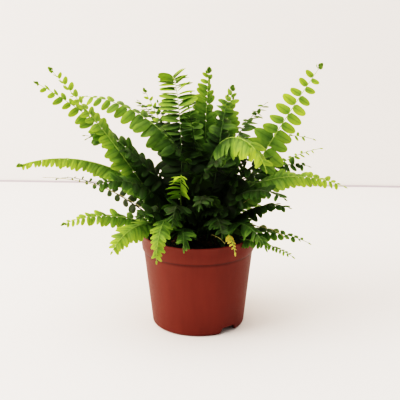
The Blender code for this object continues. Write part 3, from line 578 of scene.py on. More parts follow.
FRONDS = (
    # The fronds that reach out of the plant's outline, from the left over the top to the right.
    Stem("frond_left_high", "left", 187, 59.5, 48, 0.213, swing=-4, bend=1.5, roll=-25, leaflet=0.020,
         pitch=0.0085, fold=25, tip_fold=-30, tip_size=0.32, bright=0.5, tip_bright=1.0, bud=0.004,
         wide=1.1, dense=1.0),
    Stem("frond_left_fan", "back", 194, 54, 32, 0.231, swing=2, bend=1.4, roll=-48, leaflet=0.024,
         pitch=0.0100, fold=25, bright=0.15, tip_bright=0.95, bud=0.003, wide=1.1, dense=1.0),
    Stem("frond_left_arched", "right", 176, 86, -5, 0.220, swing=-9, bend=1.2, roll=-30, leaflet=0.025,
         pitch=0.0095, bare=0.42, fold=38, bright=0.3, tip_bright=0.9, wide=1.05, dense=1.0),
    Stem("frond_left_level", "left", 186, 69, -20, 0.195, swing=-5, bend=1.0, roll=-25, pitch=0.0075,
         fold=38, tip_fold=45, tip_size=0.35, bright=0.4, tip_bright=1.0, bud=0.004, dense=1.6),
    Stem("frond_left_thin", "left", 159, 30, -20, 0.159, swing=-18, bend=2, roll=-60, leaflet=0.011,
         pitch=0.0115, bare=0.2, fold=5, tip_size=0.04, shape="round", bright=-0.1, tip_bright=0.2,
         wide=1.7, dense=1.0),
    Stem("frond_left_low", "left", 198, 34, -19, 0.121, swing=-2, roll=-35, leaflet=0.017, pitch=0.0075,
         bright=0.45, tip_bright=0.95, bud=0.003, dense=1.3),
    Stem("frond_left_rim", "left", 232, 44, -43, 0.110, swing=3, roll=-25, leaflet=0.024, bare=0.12,
         shape="pointed", bright=0.5, tip_bright=0.85, dense=1.8),
    Stem("frond_front_rim", "left", 249, 60, -84, 0.108, swing=11, leaflet=0.020, pitch=0.008,
         bare=0.12, fold=25, shape="pointed", bright=0.3, tip_bright=0.8, dense=1.8),
    Stem("frond_back_fan", "left", 98, 86, -10, 0.186, swing=2, bend=3.0, roll=-8, leaflet=0.027,
         pitch=0.0062, fold=0, tip_fold=-15, forward=14, tip_size=0.55, bright=-0.05, tip_bright=1.0,
         wide=0.95, dense=1.35, curl=30, tilt=38),
    Stem("frond_back_upright", "back", 71, 86, 79, 0.163, swing=-4, roll=50, leaflet=0.027, pitch=0.008,
         fold=0, tip_size=0.26, bright=0.3, tip_bright=0.85, bud=0.005, wide=1.1, dense=1.25, tilt=10),
    Stem("frond_back_twin", "back", 37, 75, 80, 0.147, roll=45, leaflet=0.027, pitch=0.0080, bare=0.2,
         fold=0, tip_size=0.25, tip_bright=0.85, bud=0.005, wide=1.1, dense=1.2),
    Stem("frond_back_thin", "back", 150, 71, 57, 0.153, roll=-60, leaflet=0.014, bare=0.3, fold=0,
         tip_size=0.35, bright=0.5, tip_bright=0.9, bud=0.0035, dense=1.0),
    Stem("frond_right_upright", "right", 5, 62, 57, 0.203, swing=-7, bend=1.2, roll=82, leaflet=0.023,
         pitch=0.0118, bare=0.42, fold=-5, tip_fold=0, forward=-6, tip_size=0.36, bright=0.55,
         tip_bright=0.9, bud=0.005, wide=1.15, dense=1.0, curl=10),
    Stem("frond_right_back", "left", 17, 74, -20, 0.185, swing=-6, roll=35, leaflet=0.016, bare=0.4,
         bright=0.3, tip_bright=0.8, dense=1.1),
    Stem("frond_right_far", "right", 28, 54, 2, 0.151, swing=-3, roll=30, leaflet=0.012, pitch=0.008,
         bare=0.35, bright=0.45, tip_bright=0.9, dense=1.05),
    Stem("frond_right_level", "right", 353, 86, -22, 0.166, swing=-1, bend=0.7, roll=32, leaflet=0.024,
         pitch=0.0075, bare=0.2, tip_size=0.22, bright=0.3, tip_bright=1.0, wide=1.1, dense=1.15),
    Stem("frond_right_low", "right", 350, 18, -25, 0.092, roll=20, leaflet=0.013, pitch=0.0075, fold=5,
         tip_fold=0, shape="round", bright=0.2, tip_bright=0.6, wide=1.2, dense=1.0),
    Stem("frond_right_rim", "right", 323, 16, -24, 0.087, swing=8, roll=15, leaflet=0.01, pitch=0.006,
         fold=30, bright=0.3, tip_bright=0.6, dense=1.4),
    # The front, seen inside the outline.
    Stem("frond_front_large", "back", 288, 84, -66, 0.194, swing=23, bend=2, roll=18, leaflet=0.031,
         pitch=0.0085, bare=0.5, fold=30, tip_fold=20, shape="pointed", bright=0.3, tip_bright=0.95,
         wide=1.05, dense=1.1, curl=36),
    Stem("frond_front_young", "left", 268, 82, 20, 0.098, swing=5, roll=-20, leaflet=0.017, pitch=0.007,
         bare=0.45, tip_size=0.5, shape="pointed", bright=0.8, tip_bright=1.0, wide=0.9, dense=1.0,
         curl=50),
    Stem("frond_front_old", "right", 291, 52, -64, 0.07, leaflet=0.007, pitch=0.0055, bare=0.68,
         fold=40, bright=0.8, tip_bright=1.0, dense=1.2),
    inner_frond("frond_front_right", "right", 304, 50, -48, 0.098, 10, 0.024, 0.05, 0.45, fold=35,
                dense=1.3, shape="pointed", wide=0.9),
    inner_frond("frond_front_middle", "right", 262, 76, -25, 0.114, 5, 0.024, -0.2, 0.1),
    inner_frond("frond_front_left", "left", 264, 68, -35, 0.108, -10, 0.024, -0.15, 0.15),
    inner_frond("frond_front_right_tall", "right", 318, 72, -20, 0.122, 20, 0.024, -0.15, 0.2),
    inner_frond("frond_front_steep", "left", 312, 80, 24, 0.122, 15, 0.024, -0.2, 0.1, fold=25),
    inner_frond("frond_left_inner", "left", 214, 70, -12, 0.128, -25, 0.024, -0.05, 0.35),
    inner_frond("frond_left_middle", "left", 160, 74, 0, 0.150, -25, 0.025, -0.05, 0.35, fold=28,
                tilt=20),
    inner_frond("frond_right_middle", "right", 12, 72, -18, 0.134, 25, 0.024, -0.05, 0.35, fold=18),
    inner_frond("frond_front_low_left", "left", 272, 44, -40, 0.082, 0, 0.021, 0.1, 0.4, pitch=0.008,
                dense=1.8, shape="pointed", wide=0.9),
    inner_frond("frond_front_low_right", "right", 278, 60, -36, 0.092, 0, 0.022, -0.15, 0.15,
                pitch=0.008, dense=1.8),
    inner_frond("frond_front_short_left", "left", 304, 62, -8, 0.078, 10, 0.022, -0.2, 0.1, pitch=0.008),
    inner_frond("frond_front_short_right", "right", 236, 62, -4, 0.082, -10, 0.022, -0.2, 0.1,
                pitch=0.008),
    inner_frond("frond_front_inner_left", "left", 240, 56, -10, 0.088, -15, 0.023, -0.1, 0.25,
                pitch=0.008),
    inner_frond("frond_front_inner_right", "right", 338, 56, -10, 0.090, 15, 0.023, -0.15, 0.2,
                pitch=0.008),
    # The middle and the back.
    inner_frond("frond_middle_short_left", "left", 196, 78, 28, 0.118, -20, 0.024, -0.15, 0.25,
                bare=0.1, fold=25, tilt=25),
    inner_frond("frond_middle_short_right", "right", 331, 78, 24, 0.116, 20, 0.024, -0.15, 0.2,
                bare=0.1, fold=25, tilt=20),
    inner_frond("frond_middle_short_back", "back", 322, 76, 26, 0.110, 0, 0.024, -0.2, 0.1, bare=0.12,
                fold=25, tilt=25),
    inner_frond("frond_middle_steep", "right", 205, 83, 46, 0.130, -10, 0.024, -0.2, 0.15, bare=0.1,
                fold=25, tilt=30),
    inner_frond("frond_middle_back", "back", 100, 84, 44, 0.144, 0, 0.024, -0.1, 0.3, bare=0.15,
                fold=15, dense=1.6, tilt=35),
    inner_frond("frond_middle_front", "back", 250, 86, 64, 0.138, 5, 0.024, -0.15, 0.2, bare=0.15,
                fold=20, dense=1.6, tilt=35),
    inner_frond("frond_middle_left", "left", 118, 82, 50, 0.138, -30, 0.026, -0.1, 0.3, bare=0.12,
                fold=18, tilt=35),
    inner_frond("frond_middle_right", "right", 62, 84, 64, 0.142, 40, 0.027, 0.0, 0.5, bare=0.12,
                fold=18, tilt=20),
    inner_frond("frond_back_tall_right", "back", 44, 82, 60, 0.136, 45, 0.026, 0.05, 0.5, bare=0.15,
                fold=18, tilt=15),
    inner_frond("frond_back_left", "back", 130, 70, 20, 0.160, 10, 0.025, 0.0, 0.4, bare=0.12, fold=18,
                dense=1.6, tilt=35),
    inner_frond("frond_back_middle", "back", 92, 66, 5, 0.160, 0, 0.025, 0.0, 0.4, bare=0.12, fold=18,
                dense=1.6, tilt=35),
    inner_frond("frond_back_right", "back", 48, 72, 18, 0.158, -10, 0.025, 0.05, 0.5, bare=0.12,
                fold=18, dense=1.6, tilt=25),
    Stem("frond_back_low_left", "back", 134, 34, -38, 0.108, leaflet=0.020, pitch=0.008, bare=0.2),
    Stem("frond_back_low_middle", "back", 104, 28, -42, 0.115, leaflet=0.020, pitch=0.008),
    Stem("frond_back_low_right", "back", 74, 32, -40, 0.112, leaflet=0.020, pitch=0.008, bare=0.2),
    Stem("frond_right_back_low", "right", 58, 30, -38, 0.105, leaflet=0.020, pitch=0.008, bare=0.12),
)

RUNNERS = (
    Stem("runner_left", "left", 174, 42, 0, 0.150, swing=10),
    Stem("runner_right", "right", 336, 62, 15, 0.085, swing=12),
    Stem("runner_right_low", "right", 334, 40, -40, 0.080, swing=8),
    Stem("runner_front", "right", 268, 34, -14, 0.060, swing=30),
)


def spread_feet(stems):
    """Where each stem stands on its crown: low ones near the edge, steep ones in the middle."""
    names = [stem.name for stem in stems]
    crowns = np.array([list(CROWN_HEADINGS).index(stem.crown) for stem in stems])
    headings = np.radians([stem.heading for stem in stems])
    radii = CROWN_RADIUS * np.array([0.1 + 0.75 * (1.0 - stem.rise / 90.0) for stem in stems])
    feet = np.stack([np.cos(headings), np.sin(headings)], 1) * radii[:, None]
    for _ in range(200):
        apart = feet[:, None] - feet[None]
        distance = np.linalg.norm(apart, axis=2)
        close = (crowns[:, None] == crowns) & (distance < FOOT_SPACE) & (distance > 0)
        push = np.where(close, (FOOT_SPACE - distance) / np.maximum(distance, 1e-9), 0.0)
        feet = feet + 0.3 * (apart * push[:, :, None]).sum(1)
        reach = np.linalg.norm(feet, axis=1)
        feet *= np.minimum(1.0, OUTER_FOOT * CROWN_RADIUS / reach)[:, None]
    return dict(zip(names, feet))


FEET = spread_feet(FRONDS + RUNNERS)


def stem_base(stem):
    """The start of the stem's middle line, with its end face just clear of the crown."""
    foot = Vector((*FEET[stem.name], 0.0))
    slope = math.radians(stem.rise)
    heading = math.radians(stem.heading)
    normal = (foot * (2 * CROWN_HEIGHT / CROWN_RADIUS ** 2) + Vector((0, 0, 1))).normalized()
    outward = Vector((math.cos(heading), math.sin(heading), 0.0))
    tangent = outward * math.cos(slope) + Vector((0, 0, math.sin(slope)))
    lift = GAP + 1.5 * STALK_RADIUS * normal.cross(tangent).length
    return crown_centre(stem.crown) + foot + Vector((0, 0, crown_top(foot.length))) + normal * lift


def stem_frames(stem, shares):
    """Points at these shares of the stem, with the ways to its left, out of its top and along it."""
    fine = np.linspace(0.0, 1.0, 121)
    heading = np.radians(stem.heading + stem.swing * fine)
    slope = np.radians(stem.rise + (stem.end - stem.rise) * fine ** stem.bend)
    level = np.cos(slope)
    along = np.stack([level * np.cos(heading), level * np.sin(heading), np.sin(slope)], 1)
    steps = (along[1:] + along[:-1]) / 2 * stem.length / 120
    line = np.vstack([np.zeros(3), np.cumsum(steps, 0)])
    at = np.clip(np.asarray(shares, float), 0.0, 1.0)
    points = np.stack([np.interp(at, fine, line[:, k]) for k in range(3)], 1) + np.array(stem_base(stem))
    tangents = np.stack([np.interp(at, fine, along[:, k]) for k in range(3)], 1)
    tangents /= np.linalg.norm(tangents, axis=1)[:, None]
    lefts = np.stack([-tangents[:, 1], tangents[:, 0], np.zeros(len(at))], 1)
    lefts /= np.linalg.norm(lefts, axis=1)[:, None]
    roll = math.radians(stem.roll)
    sides = lefts * math.cos(roll) + np.cross(tangents, lefts) * math.sin(roll)
    return points, sides, np.cross(tangents, sides), tangents


def leaflet_pairs(stem):
    return max(3, round(stem.length * (1.0 - stem.bare) / stem.pitch))


# One leaflet of each shape: (share of its length, half width behind, half width in front), from its
# short stalk to its tip. The front half has an ear at its base, and the edge is scalloped.
LEAFLET_OUTLINES = {
    "oblong": ((0.00, 0.20, 0.28), (0.07, 0.36, 0.50), (0.20, 0.45, 0.52), (0.36, 0.50, 0.51),
               (0.52, 0.50, 0.48), (0.68, 0.45, 0.42), (0.83, 0.34, 0.30), (0.94, 0.19, 0.16),
               (1.00, 0.05, 0.04)),
    "round": ((0.00, 0.16, 0.18), (0.08, 0.40, 0.46), (0.22, 0.52, 0.56), (0.38, 0.60, 0.60),
              (0.55, 0.60, 0.59), (0.72, 0.52, 0.52), (0.87, 0.36, 0.36), (0.96, 0.18, 0.18),
              (1.00, 0.04, 0.04)),
    "pointed": ((0.00, 0.26, 0.34), (0.07, 0.42, 0.62), (0.20, 0.44, 0.52), (0.35, 0.44, 0.47),
                (0.50, 0.37, 0.40), (0.65, 0.32, 0.34), (0.80, 0.19, 0.21), (0.92, 0.11, 0.12),
                (1.00, 0.02, 0.02)),
}
SCALLOP = {"oblong": 0.025, "round": 0.03, "pointed": 0.085}
SHOULDER = 0.05
EDGE_DROP = 0.03
BLADE_THICKNESS = 0.055


def model_leaflet(shape):
    """Points, faces, and each face's corners as (across, along, underside), 1 long and 1 wide."""
    outline = LEAFLET_OUTLINES[shape]
    rows = len(outline) - 1
    bpy.ops.object.select_all(action="DESELECT")
    bpy.ops.mesh.primitive_grid_add(x_subdivisions=4, y_subdivisions=rows, size=1, location=(0, 0.5, 0))
    leaflet = bpy.context.object
    bpy.ops.object.transform_apply(location=True)
    across = {}
    for vertex in leaflet.data.vertices:
        row = round(vertex.co.y * rows)
        column = vertex.co.x * 2
        share, behind, front = outline[row]
        half = front if column > 0 else behind
        tooth = SCALLOP[shape] * (1 if row % 2 else -1) * (0 < row < rows) * (abs(column) > 0.9)
        vertex.co.x = column * half + math.copysign(tooth, column) * (abs(column) > 0.9)
        vertex.co.y = share + (abs(column) > 0.9) * abs(tooth)
        bulge = math.sin(min(share, 1 - share) * math.pi)
        vertex.co.z = (SHOULDER * (abs(column) == 0.5) - EDGE_DROP * (abs(column) > 0.9)) * bulge
        across[vertex.index] = (column + 1) / 2, share
    bpy.ops.object.mode_set(mode="EDIT")
    bpy.ops.mesh.select_all(action="SELECT")
    bpy.ops.mesh.duplicate()
    bpy.ops.mesh.flip_normals()
    bpy.ops.object.mode_set(mode="OBJECT")
    mesh = leaflet.data
    count = len(across)
    for vertex in mesh.vertices:
        column, share = across[vertex.index % count]
        if vertex.index >= count and 0 < column < 1 and 0 < share < 1:
            vertex.co.z -= BLADE_THICKNESS
    keep = {}
    joined = []
    for vertex in mesh.vertices:
        joined.append(keep.setdefault(tuple(round(c, 5) for c in vertex.co), len(keep)))
    points = np.zeros((len(keep), 3))
    for vertex in mesh.vertices:
        points[joined[vertex.index]] = vertex.co
    faces, corners = [], []
    for face in mesh.polygons:
        under = float(face.vertices[0] >= count)
        faces.append(tuple(joined[i] for i in face.vertices))
        corners.append([(*across[i % count], under) for i in face.vertices])
    bpy.data.objects.remove(leaflet)
    return points, faces, corners


LEAFLETS = {shape: model_leaflet(shape) for shape in LEAFLET_OUTLINES}


CUPPING = 0.315
STRAIGHT = 1e-4
MIDRIB_SIDES = 7
MIDRIB_STEP = 0.006
MIDRIB_FOOT = 0.00095
MIDRIB_TIP = 0.00026
INTO_CROWN = 0.0012


def midrib_rings(stem):
    return 6 + round(stem.length / MIDRIB_STEP)


class Growth:
    """The points, faces and corner values of one frond while it is put together."""

    def __init__(self):
        self.points, self.faces, self.coordinates, self.tones = [], [], [], []
        self.count = 0

    def add_leaflet(self, shape, root, across, outward, face, length, width, curl, twist, tone, spot):
        points, faces, corners = LEAFLETS[shape]
        x, y, z = points[:, 0] * width, points[:, 1], points[:, 2] * width
        z = z - CUPPING * x * x / width
        bend = curl * y
        divisor = curl if abs(curl) > STRAIGHT else 1.0
        reach = np.where(abs(bend) > STRAIGHT, np.sin(bend) / divisor, y) * length
        drop = (1 - np.cos(bend)) / divisor * length
        turn = twist * y
        side = np.outer(np.cos(turn), across) + np.outer(np.sin(turn), face)
        up = np.outer(np.cos(turn), face) - np.outer(np.sin(turn), across)
        out = (root + side * x[:, None] + np.outer(reach, outward)
               - np.outer(drop, face) + up * (z * np.cos(bend))[:, None]
               + np.outer(z * np.sin(bend), outward))
        flipped = np.linalg.det(np.stack([across, outward, face])) < 0
        order = slice(None, None, -1) if flipped else slice(None)
        for face_points, face_corners in zip(faces, corners):
            self.faces.append(tuple(self.count + i for i in face_points[order]))
            for u, v, under in face_corners[order]:
                self.coordinates.append((u, v))
                self.tones.append((tone, spot, under, 1.0))
        self.points.append(out)
        self.count += len(points)

    def add_midrib(self, stem):
        sides, rings = MIDRIB_SIDES, midrib_rings(stem)
        shares = np.linspace(0, 1, rings)
        points, left, top, along = stem_frames(stem, shares)
        points[0] -= along[0] * INTO_CROWN
        radii = MIDRIB_FOOT + (MIDRIB_TIP - MIDRIB_FOOT) * shares ** 0.7
        angles = np.arange(sides) * 2 * math.pi / sides
        ring = (np.cos(angles)[None, :, None] * left[:, None]
                + np.sin(angles)[None, :, None] * top[:, None])
        shell = points[:, None] + ring * radii[:, None, None]
        first = self.count
        self.points.append(shell.reshape(-1, 3))
        self.count += rings * sides
        for k in range(rings - 1):
            for j in range(sides):
                a, b = first + k * sides + j, first + k * sides + (j + 1) % sides
                self.faces.append((a, b, b + sides, a + sides))
                low, high = shares[k], shares[k + 1]
                self.coordinates += [(0.5, low), (0.5, low), (0.5, high), (0.5, high)]
                self.tones += [(low, stem.bright + (stem.tip_bright - stem.bright) * low, -1.0, 1.0)] * 4
        self.faces.append(tuple(first + j for j in reversed(range(sides))))
        self.faces.append(tuple(first + (rings - 1) * sides + j for j in range(sides)))
        self.coordinates += [(0.5, 0.0)] * sides + [(0.5, 1.0)] * sides
        self.tones += [(0.0, stem.bright, -1.0, 1.0)] * sides
        self.tones += [(1.0, stem.tip_bright, -1.0, 1.0)] * sides

    def finish(self, name):
        made = add_mesh(name, np.vstack(self.points), self.faces)
        leaflet_map = made.data.uv_layers.new(name="leaflet")
        leaflet_map.uv.foreach_set("vector", np.array(self.coordinates).ravel())
        tone = made.data.color_attributes.new(name="tone", type="FLOAT_COLOR", domain="CORNER")
        tone.data.foreach_set("color", np.array(self.tones).ravel())
        return made


LOWEST_LEAFLET_SHARE = 0.70
FULL_LEAFLET_AT = 0.12
TAPER_POWER = 0.8
ROW_OFFSET = 0.16
LEAFLET_WIDTH_SHARE = 0.5
TIP_LEANS_FORWARD = 22
BESIDE_MIDRIB = 0.0004
BUD_LEAFLETS = 9
BUD_TURN = 2.4
TIP_LEAFLET = 0.004


def grow_frond(stem, seed):
    rng = np.random.default_rng(seed)
    growth = Growth()
    growth.add_midrib(stem)
    pairs = round(leaflet_pairs(stem) * stem.dense)
    for sign in (1, -1):
        up_blade = (np.arange(pairs) + 0.5) / pairs
        steps = np.arange(pairs) + 0.5 + sign * ROW_OFFSET
        shares = stem.bare + (1 - stem.bare) * steps / (pairs + 1)
        points, left, top, along = stem_frames(stem, shares)
        start = LOWEST_LEAFLET_SHARE + (1 - LOWEST_LEAFLET_SHARE) * up_blade / FULL_LEAFLET_AT
        taper = stem.tip_size + (1 - stem.tip_size) * (1 - up_blade) ** TAPER_POWER
        lengths = stem.leaflet * np.minimum(1.0, start) * taper * rng.uniform(0.84, 1.08, pairs)
        for k in range(pairs):
            width = LEAFLET_WIDTH_SHARE * lengths[k] * stem.wide
            forward = stem.forward + rng.normal(0, 7 * stem.loose) + TIP_LEANS_FORWARD * up_blade[k] ** 2
            forward = math.radians(forward)
            fold = stem.fold + (stem.tip_fold - stem.fold) * up_blade[k] + rng.normal(0, 10 * stem.loose)
            fold = math.radians(fold)
            outward = left[k] * sign * math.cos(forward) + along[k] * math.sin(forward)
            outward = outward * math.cos(fold) - top[k] * math.sin(fold)
            outward /= np.linalg.norm(outward)
            across = along[k] - outward * along[k].dot(outward)
            across /= np.linalg.norm(across)
            face = np.cross(outward, across)
            face = face if face.dot(top[k]) > 0 else -face
            tilt = math.radians(rng.normal(stem.tilt, 8 * stem.loose))
            across, face = (across * math.cos(tilt) - face * math.sin(tilt),
                            face * math.cos(tilt) + across * math.sin(tilt))
            # The leaflet's tone: its age, with painted shade on the shaded fronds and painted light
            # towards the outer tips.
            tone = stem.bright + (stem.tip_bright - stem.bright) * up_blade[k] + rng.normal(0, 0.05)
            root = points[k] + left[k] * sign * BESIDE_MIDRIB
            growth.add_leaflet(stem.shape, root, across, outward, face, lengths[k], width,
                               math.radians(stem.curl + rng.normal(0, 8)),
                               math.radians(rng.normal(0, 14 * stem.loose)), tone, rng.random())
    points, left, top, along = stem_frames(stem, [1.0])
    if stem.bud:
        for k in range(BUD_LEAFLETS):
            angle = k * BUD_TURN
            away = left[0] * math.cos(angle) + top[0] * math.sin(angle)
            open_angle = math.radians(25 + 6 * k)
            outward = along[0] * math.cos(open_angle) + away * math.sin(open_angle)
            across = np.cross(away, along[0])
            face = np.cross(outward, across)
            face = face if face.dot(along[0]) > 0 else -face
            root = points[0] - along[0] * 0.0006 * k
            growth.add_leaflet("round", root, across, outward, face, stem.bud * (0.6 + 0.07 * k),
                               stem.bud * 0.6, math.radians(-95 + 6 * k), 0.0,
                               stem.tip_bright - 0.3, rng.random())
    else:
        growth.add_leaflet("pointed", points[0] - along[0] * 0.001, left[0], along[0], top[0],
                           TIP_LEAFLET, 0.45 * TIP_LEAFLET, 0.3, 0.0, stem.tip_bright, 0.5)
    return growth.finish("leafy_" + stem.name)


# Living fern leaf: thin, waxy above and matt beneath, with forked veins about 0.9 mm apart. Light comes
# through it yellow-green. New growth is pale and yellowish, and it darkens as it hardens; the tone each
# leaflet is given also holds painted shade on the shaded fronds and painted light towards the tips.
def leaf_material(name, dark, middle, light, pale, glow, share_through):
    made, tree, shader, place = begin_material(name)
    uv = put(tree, "UVMap", uv_map="leaflet")
    axes = put(tree, "SeparateXYZ", {0: uv})
    tone = put(tree, "Attribute", attribute_name="tone")
    tones = put(tree, "SeparateColor", {0: tone})
    off_middle = put(tree, "Math", {0: axes.outputs["X"], 1: 0.5}, operation="SUBTRACT")
    from_middle = put(tree, "Math", {0: off_middle}, operation="ABSOLUTE")
    # The tone: the leaflet's own (its age, with painted shade on the shaded fronds and painted light on
    # the outer ones), plus more towards its tip, which is partly painted light, and towards its edge.
    toward_tip = put(tree, "Math", {0: axes.outputs["Y"], 1: 0.34, 2: -0.20}, operation="MULTIPLY_ADD")
    toward_edge = put(tree, "Math", {0: from_middle, 1: 0.38, 2: toward_tip}, operation="MULTIPLY_ADD")
    mottle = put(tree, "TexNoise", {"Vector": place, "Scale": 260.0, "Detail": 3.0})
    patchy = put(tree, "Math", {0: mottle, 1: 0.30, 2: -0.15}, operation="MULTIPLY_ADD")
    own = put(tree, "Math", {0: tones, 1: patchy}, operation="ADD")
    age_and_painted_shading = put(tree, "Math", {0: own, 1: toward_edge}, operation="ADD")
    green = put(tree, "ValToRGB", {"Fac": age_and_painted_shading},
                stops=[(0.0, dark), (0.34, middle), (0.68, light), (1.0, pale)])
    # Veins leave the midrib at a slant and run to the edge.
    slant = put(tree, "Math", {0: from_middle, 1: -0.55, 2: axes.outputs["Y"]}, operation="MULTIPLY_ADD")
    ridge = put(tree, "Math", {0: slant, 1: 110.0}, operation="MULTIPLY")
    wave = put(tree, "Math", {0: ridge}, operation="SINE")
    vein = put(tree, "MapRange", {"Value": wave, "From Min": 0.3, "From Max": 1.0})
    midvein = put(tree, "MapRange", {"Value": from_middle, "From Min": 0.02,
                                     "From Max": 0.09, "To Min": 1.0, "To Max": 0.0})
    lines = put(tree, "Math", {0: vein, 1: 0.35}, operation="MULTIPLY")
    drawn = put(tree, "Math", {0: lines, 1: midvein}, operation="MAXIMUM")
    vein_share = put(tree, "Math", {0: drawn, 1: 0.30}, operation="MULTIPLY")
    veined = put(tree, "Mix", {0: vein_share, 6: green, 7: linear(dark)}, data_type="RGBA")
    under_share = put(tree, "Math", {0: tones.outputs[2], 1: 0.25}, operation="MULTIPLY", use_clamp=True)
    faced = put(tree, "Mix", {0: under_share, 6: veined, 7: linear(light)}, data_type="RGBA")
    waxy = put(tree, "MapRange", {"Value": mottle, "To Min": 0.38, "To Max": 0.62})
    relief = put(tree, "Bump", {"Height": drawn, "Strength": 0.5, "Distance": 0.00025}, invert=True)
    wire(tree, shader, {"Base Color": faced, "IOR": 1.42, "Roughness": waxy, "Normal": relief})
    lit = put(tree, "Mix", {0: 0.55, 6: faced, 7: linear(glow)}, data_type="RGBA")
    through = put(tree, "BsdfTranslucent", {"Color": lit})
    blade = put(tree, "MixShader", {0: share_through, 1: shader, 2: through})
    wire(tree, tree.nodes["Material Output"], {"Surface": blade})
    return made


leaf_looks = {
    "leaf": leaf_material("living_fern_leaf", "#283218", "#3E5A24", "#7FA043", "#AFC852",
                          "#98B840", 0.45),
    "young_leaf": leaf_material("unrolling_fern_leaf", "#3A641B", "#6C962A", "#9ABD3B", "#BAD24F",
                                "#A9CC3A", 0.45),
    "old_leaf": leaf_material("yellowed_fern_leaf", "#6F7A22", "#A8A238", "#C9B94A", "#D8C765",
                              "#D8C74C", 0.35),
}
leaf_kinds = {"frond_front_young": "young_leaf", "frond_front_old": "old_leaf"}

# The stalk and midrib: wiry and ridged, dark brown and scaly at the foot, and green near the tip; the
# green follows the frond's tone, painted shade included.
midrib_look, tree, shader, place = begin_material("fern_stalk")
tone = put(tree, "Attribute", attribute_name="tone")
tones = put(tree, "SeparateColor", {0: tone})
scurf = put(tree, "TexNoise", {"Vector": place, "Scale": 700.0, "Detail": 4.0})
scurf_share = put(tree, "Math", {0: scurf, 1: 0.30, 2: -0.15}, operation="MULTIPLY_ADD")
height_up = put(tree, "Math", {0: tones, 1: scurf_share}, operation="ADD")
scaly_foot = put(tree, "MapRange", {"Value": height_up, "From Min": 0.05, "From Max": 0.40})
# The green follows the frond's tone, so the painted shade of the shaded fronds carries into their
# stalks.
stalk_green = put(tree, "ValToRGB", {"Fac": tones.outputs[1]},
                  stops=[(0.0, "#20300F"), (0.5, "#5C7C2E"), (1.0, "#A0B650")])
stalk_colour = put(tree, "Mix", {0: scaly_foot, 6: linear("#21160D"), 7: stalk_green}, data_type="RGBA")
stalk_bump = put(tree, "Bump", {"Height": scurf, "Strength": 0.4, "Distance": 0.0002})
wire(tree, shader, {"Base Color": stalk_colour, "Roughness": 0.55, "Normal": stalk_bump})

for number, stem in enumerate(FRONDS):
    frond = grow_frond(stem, 100 + number)
    kind = leaf_kinds.get(stem.name, "leaf")
    frond.data.materials.append(leaf_looks[kind])
    frond.data.materials.append(midrib_look)
    midrib_faces = MIDRIB_SIDES * (midrib_rings(stem) - 1) + 2
    slots = np.zeros(len(frond.data.polygons), np.int32)
    slots[:midrib_faces] = 1
    frond.data.polygons.foreach_set("material_index", slots)
    select_only(frond)
    bpy.ops.object.shade_smooth_by_angle(angle=math.radians(55))
    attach(frond, "root")
    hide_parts(stem.name)

# The runners: leafless threads that the crowns send out to root elsewhere. They are thin, scaly and
# straw-coloured, and hang where they find nothing to root in.
RUNNER_RADIUS = 0.0004
RUNNER_POINTS = 40
RUNNER_WAVE = 0.0008
ROOTLET_STEP = 0.0011
runner_look, tree, shader, place = begin_material("scaly_fern_runner")
fuzz = put(tree, "TexNoise", {"Vector": place, "Scale": 480.0, "Detail": 4.0, "Roughness": 0.7})
runner_colour = put(tree, "ValToRGB", {"Fac": fuzz},
                    stops=[(0.32, "#6E6335"), (0.52, "#A39A5C"), (0.70, "#C8C08A")])
wire(tree, shader, {"Base Color": runner_colour, "Roughness": 0.7})
for number, stem in enumerate(RUNNERS):
    rng = np.random.default_rng(300 + number)
    line = start_threads("thin_" + stem.name, RUNNER_RADIUS, 1)
    points, left, top, along = stem_frames(stem, np.linspace(0, 1, RUNNER_POINTS))
    points += left * (np.sin(np.linspace(0, 9, RUNNER_POINTS)) * RUNNER_WAVE)[:, None]
    main_thread = line.splines.new("POLY")
    main_thread.points.add(RUNNER_POINTS - 1)
    for k, (point, place_on) in enumerate(zip(main_thread.points, points)):
        point.co = (*place_on, 1.0)
        point.radius = 1.15 - 0.6 * k / (RUNNER_POINTS - 1)
    for k in range(6, RUNNER_POINTS - 1, 4):
        rootlet = line.splines.new("POLY")
        rootlet.points.add(2)
        away = left[k] * rng.choice((-1, 1)) + top[k] * rng.normal(0, 0.6) + along[k] * 0.7
        away /= np.linalg.norm(away)
        for step, point in enumerate(rootlet.points):
            point.co = (*(points[k] + away * ROOTLET_STEP * step), 1.0)
            point.radius = 0.45 - 0.15 * step
    runner = finish_threads(line)
    runner.data.materials.append(runner_look)
    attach(runner, "root")
    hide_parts(stem.name)

# The studio: a tabletop and a wall, both painted matt white. One large soft light stands for a window
# on the left, another comes down from a pale ceiling, and the room around fills the shadows.
WALL_DISTANCE = 0.503
WALL_TURN = math.radians(-3)
CORNER_SHADE_HEIGHT = 0.0026
bpy.ops.object.select_all(action="DESELECT")
bpy.ops.mesh.primitive_plane_add(size=1, location=(0, 0, 0))
floor = bpy.context.object
floor.name = "tabletop"
floor.scale = (8, 8, 1)
bpy.ops.object.transform_apply(scale=True)
bpy.ops.mesh.primitive_plane_add(size=1, location=(0, WALL_DISTANCE, 1.5),
                                 rotation=(math.radians(90), 0, WALL_TURN))
wall = bpy.context.object
wall.name = "wall"
wall.scale = (8, 3, 1)
painted, tree, shader, place = begin_material("matt_white_paint")
roller = put(tree, "TexNoise", {"Vector": place, "Scale": 3.0, "Detail": 3.0})
paint_colour = put(tree, "ValToRGB", {"Fac": roller}, stops=[(0.3, "#F6EEE8"), (0.7, "#FAF3ED")])
wire(tree, shader, {"Base Color": paint_colour, "Roughness": 0.75})


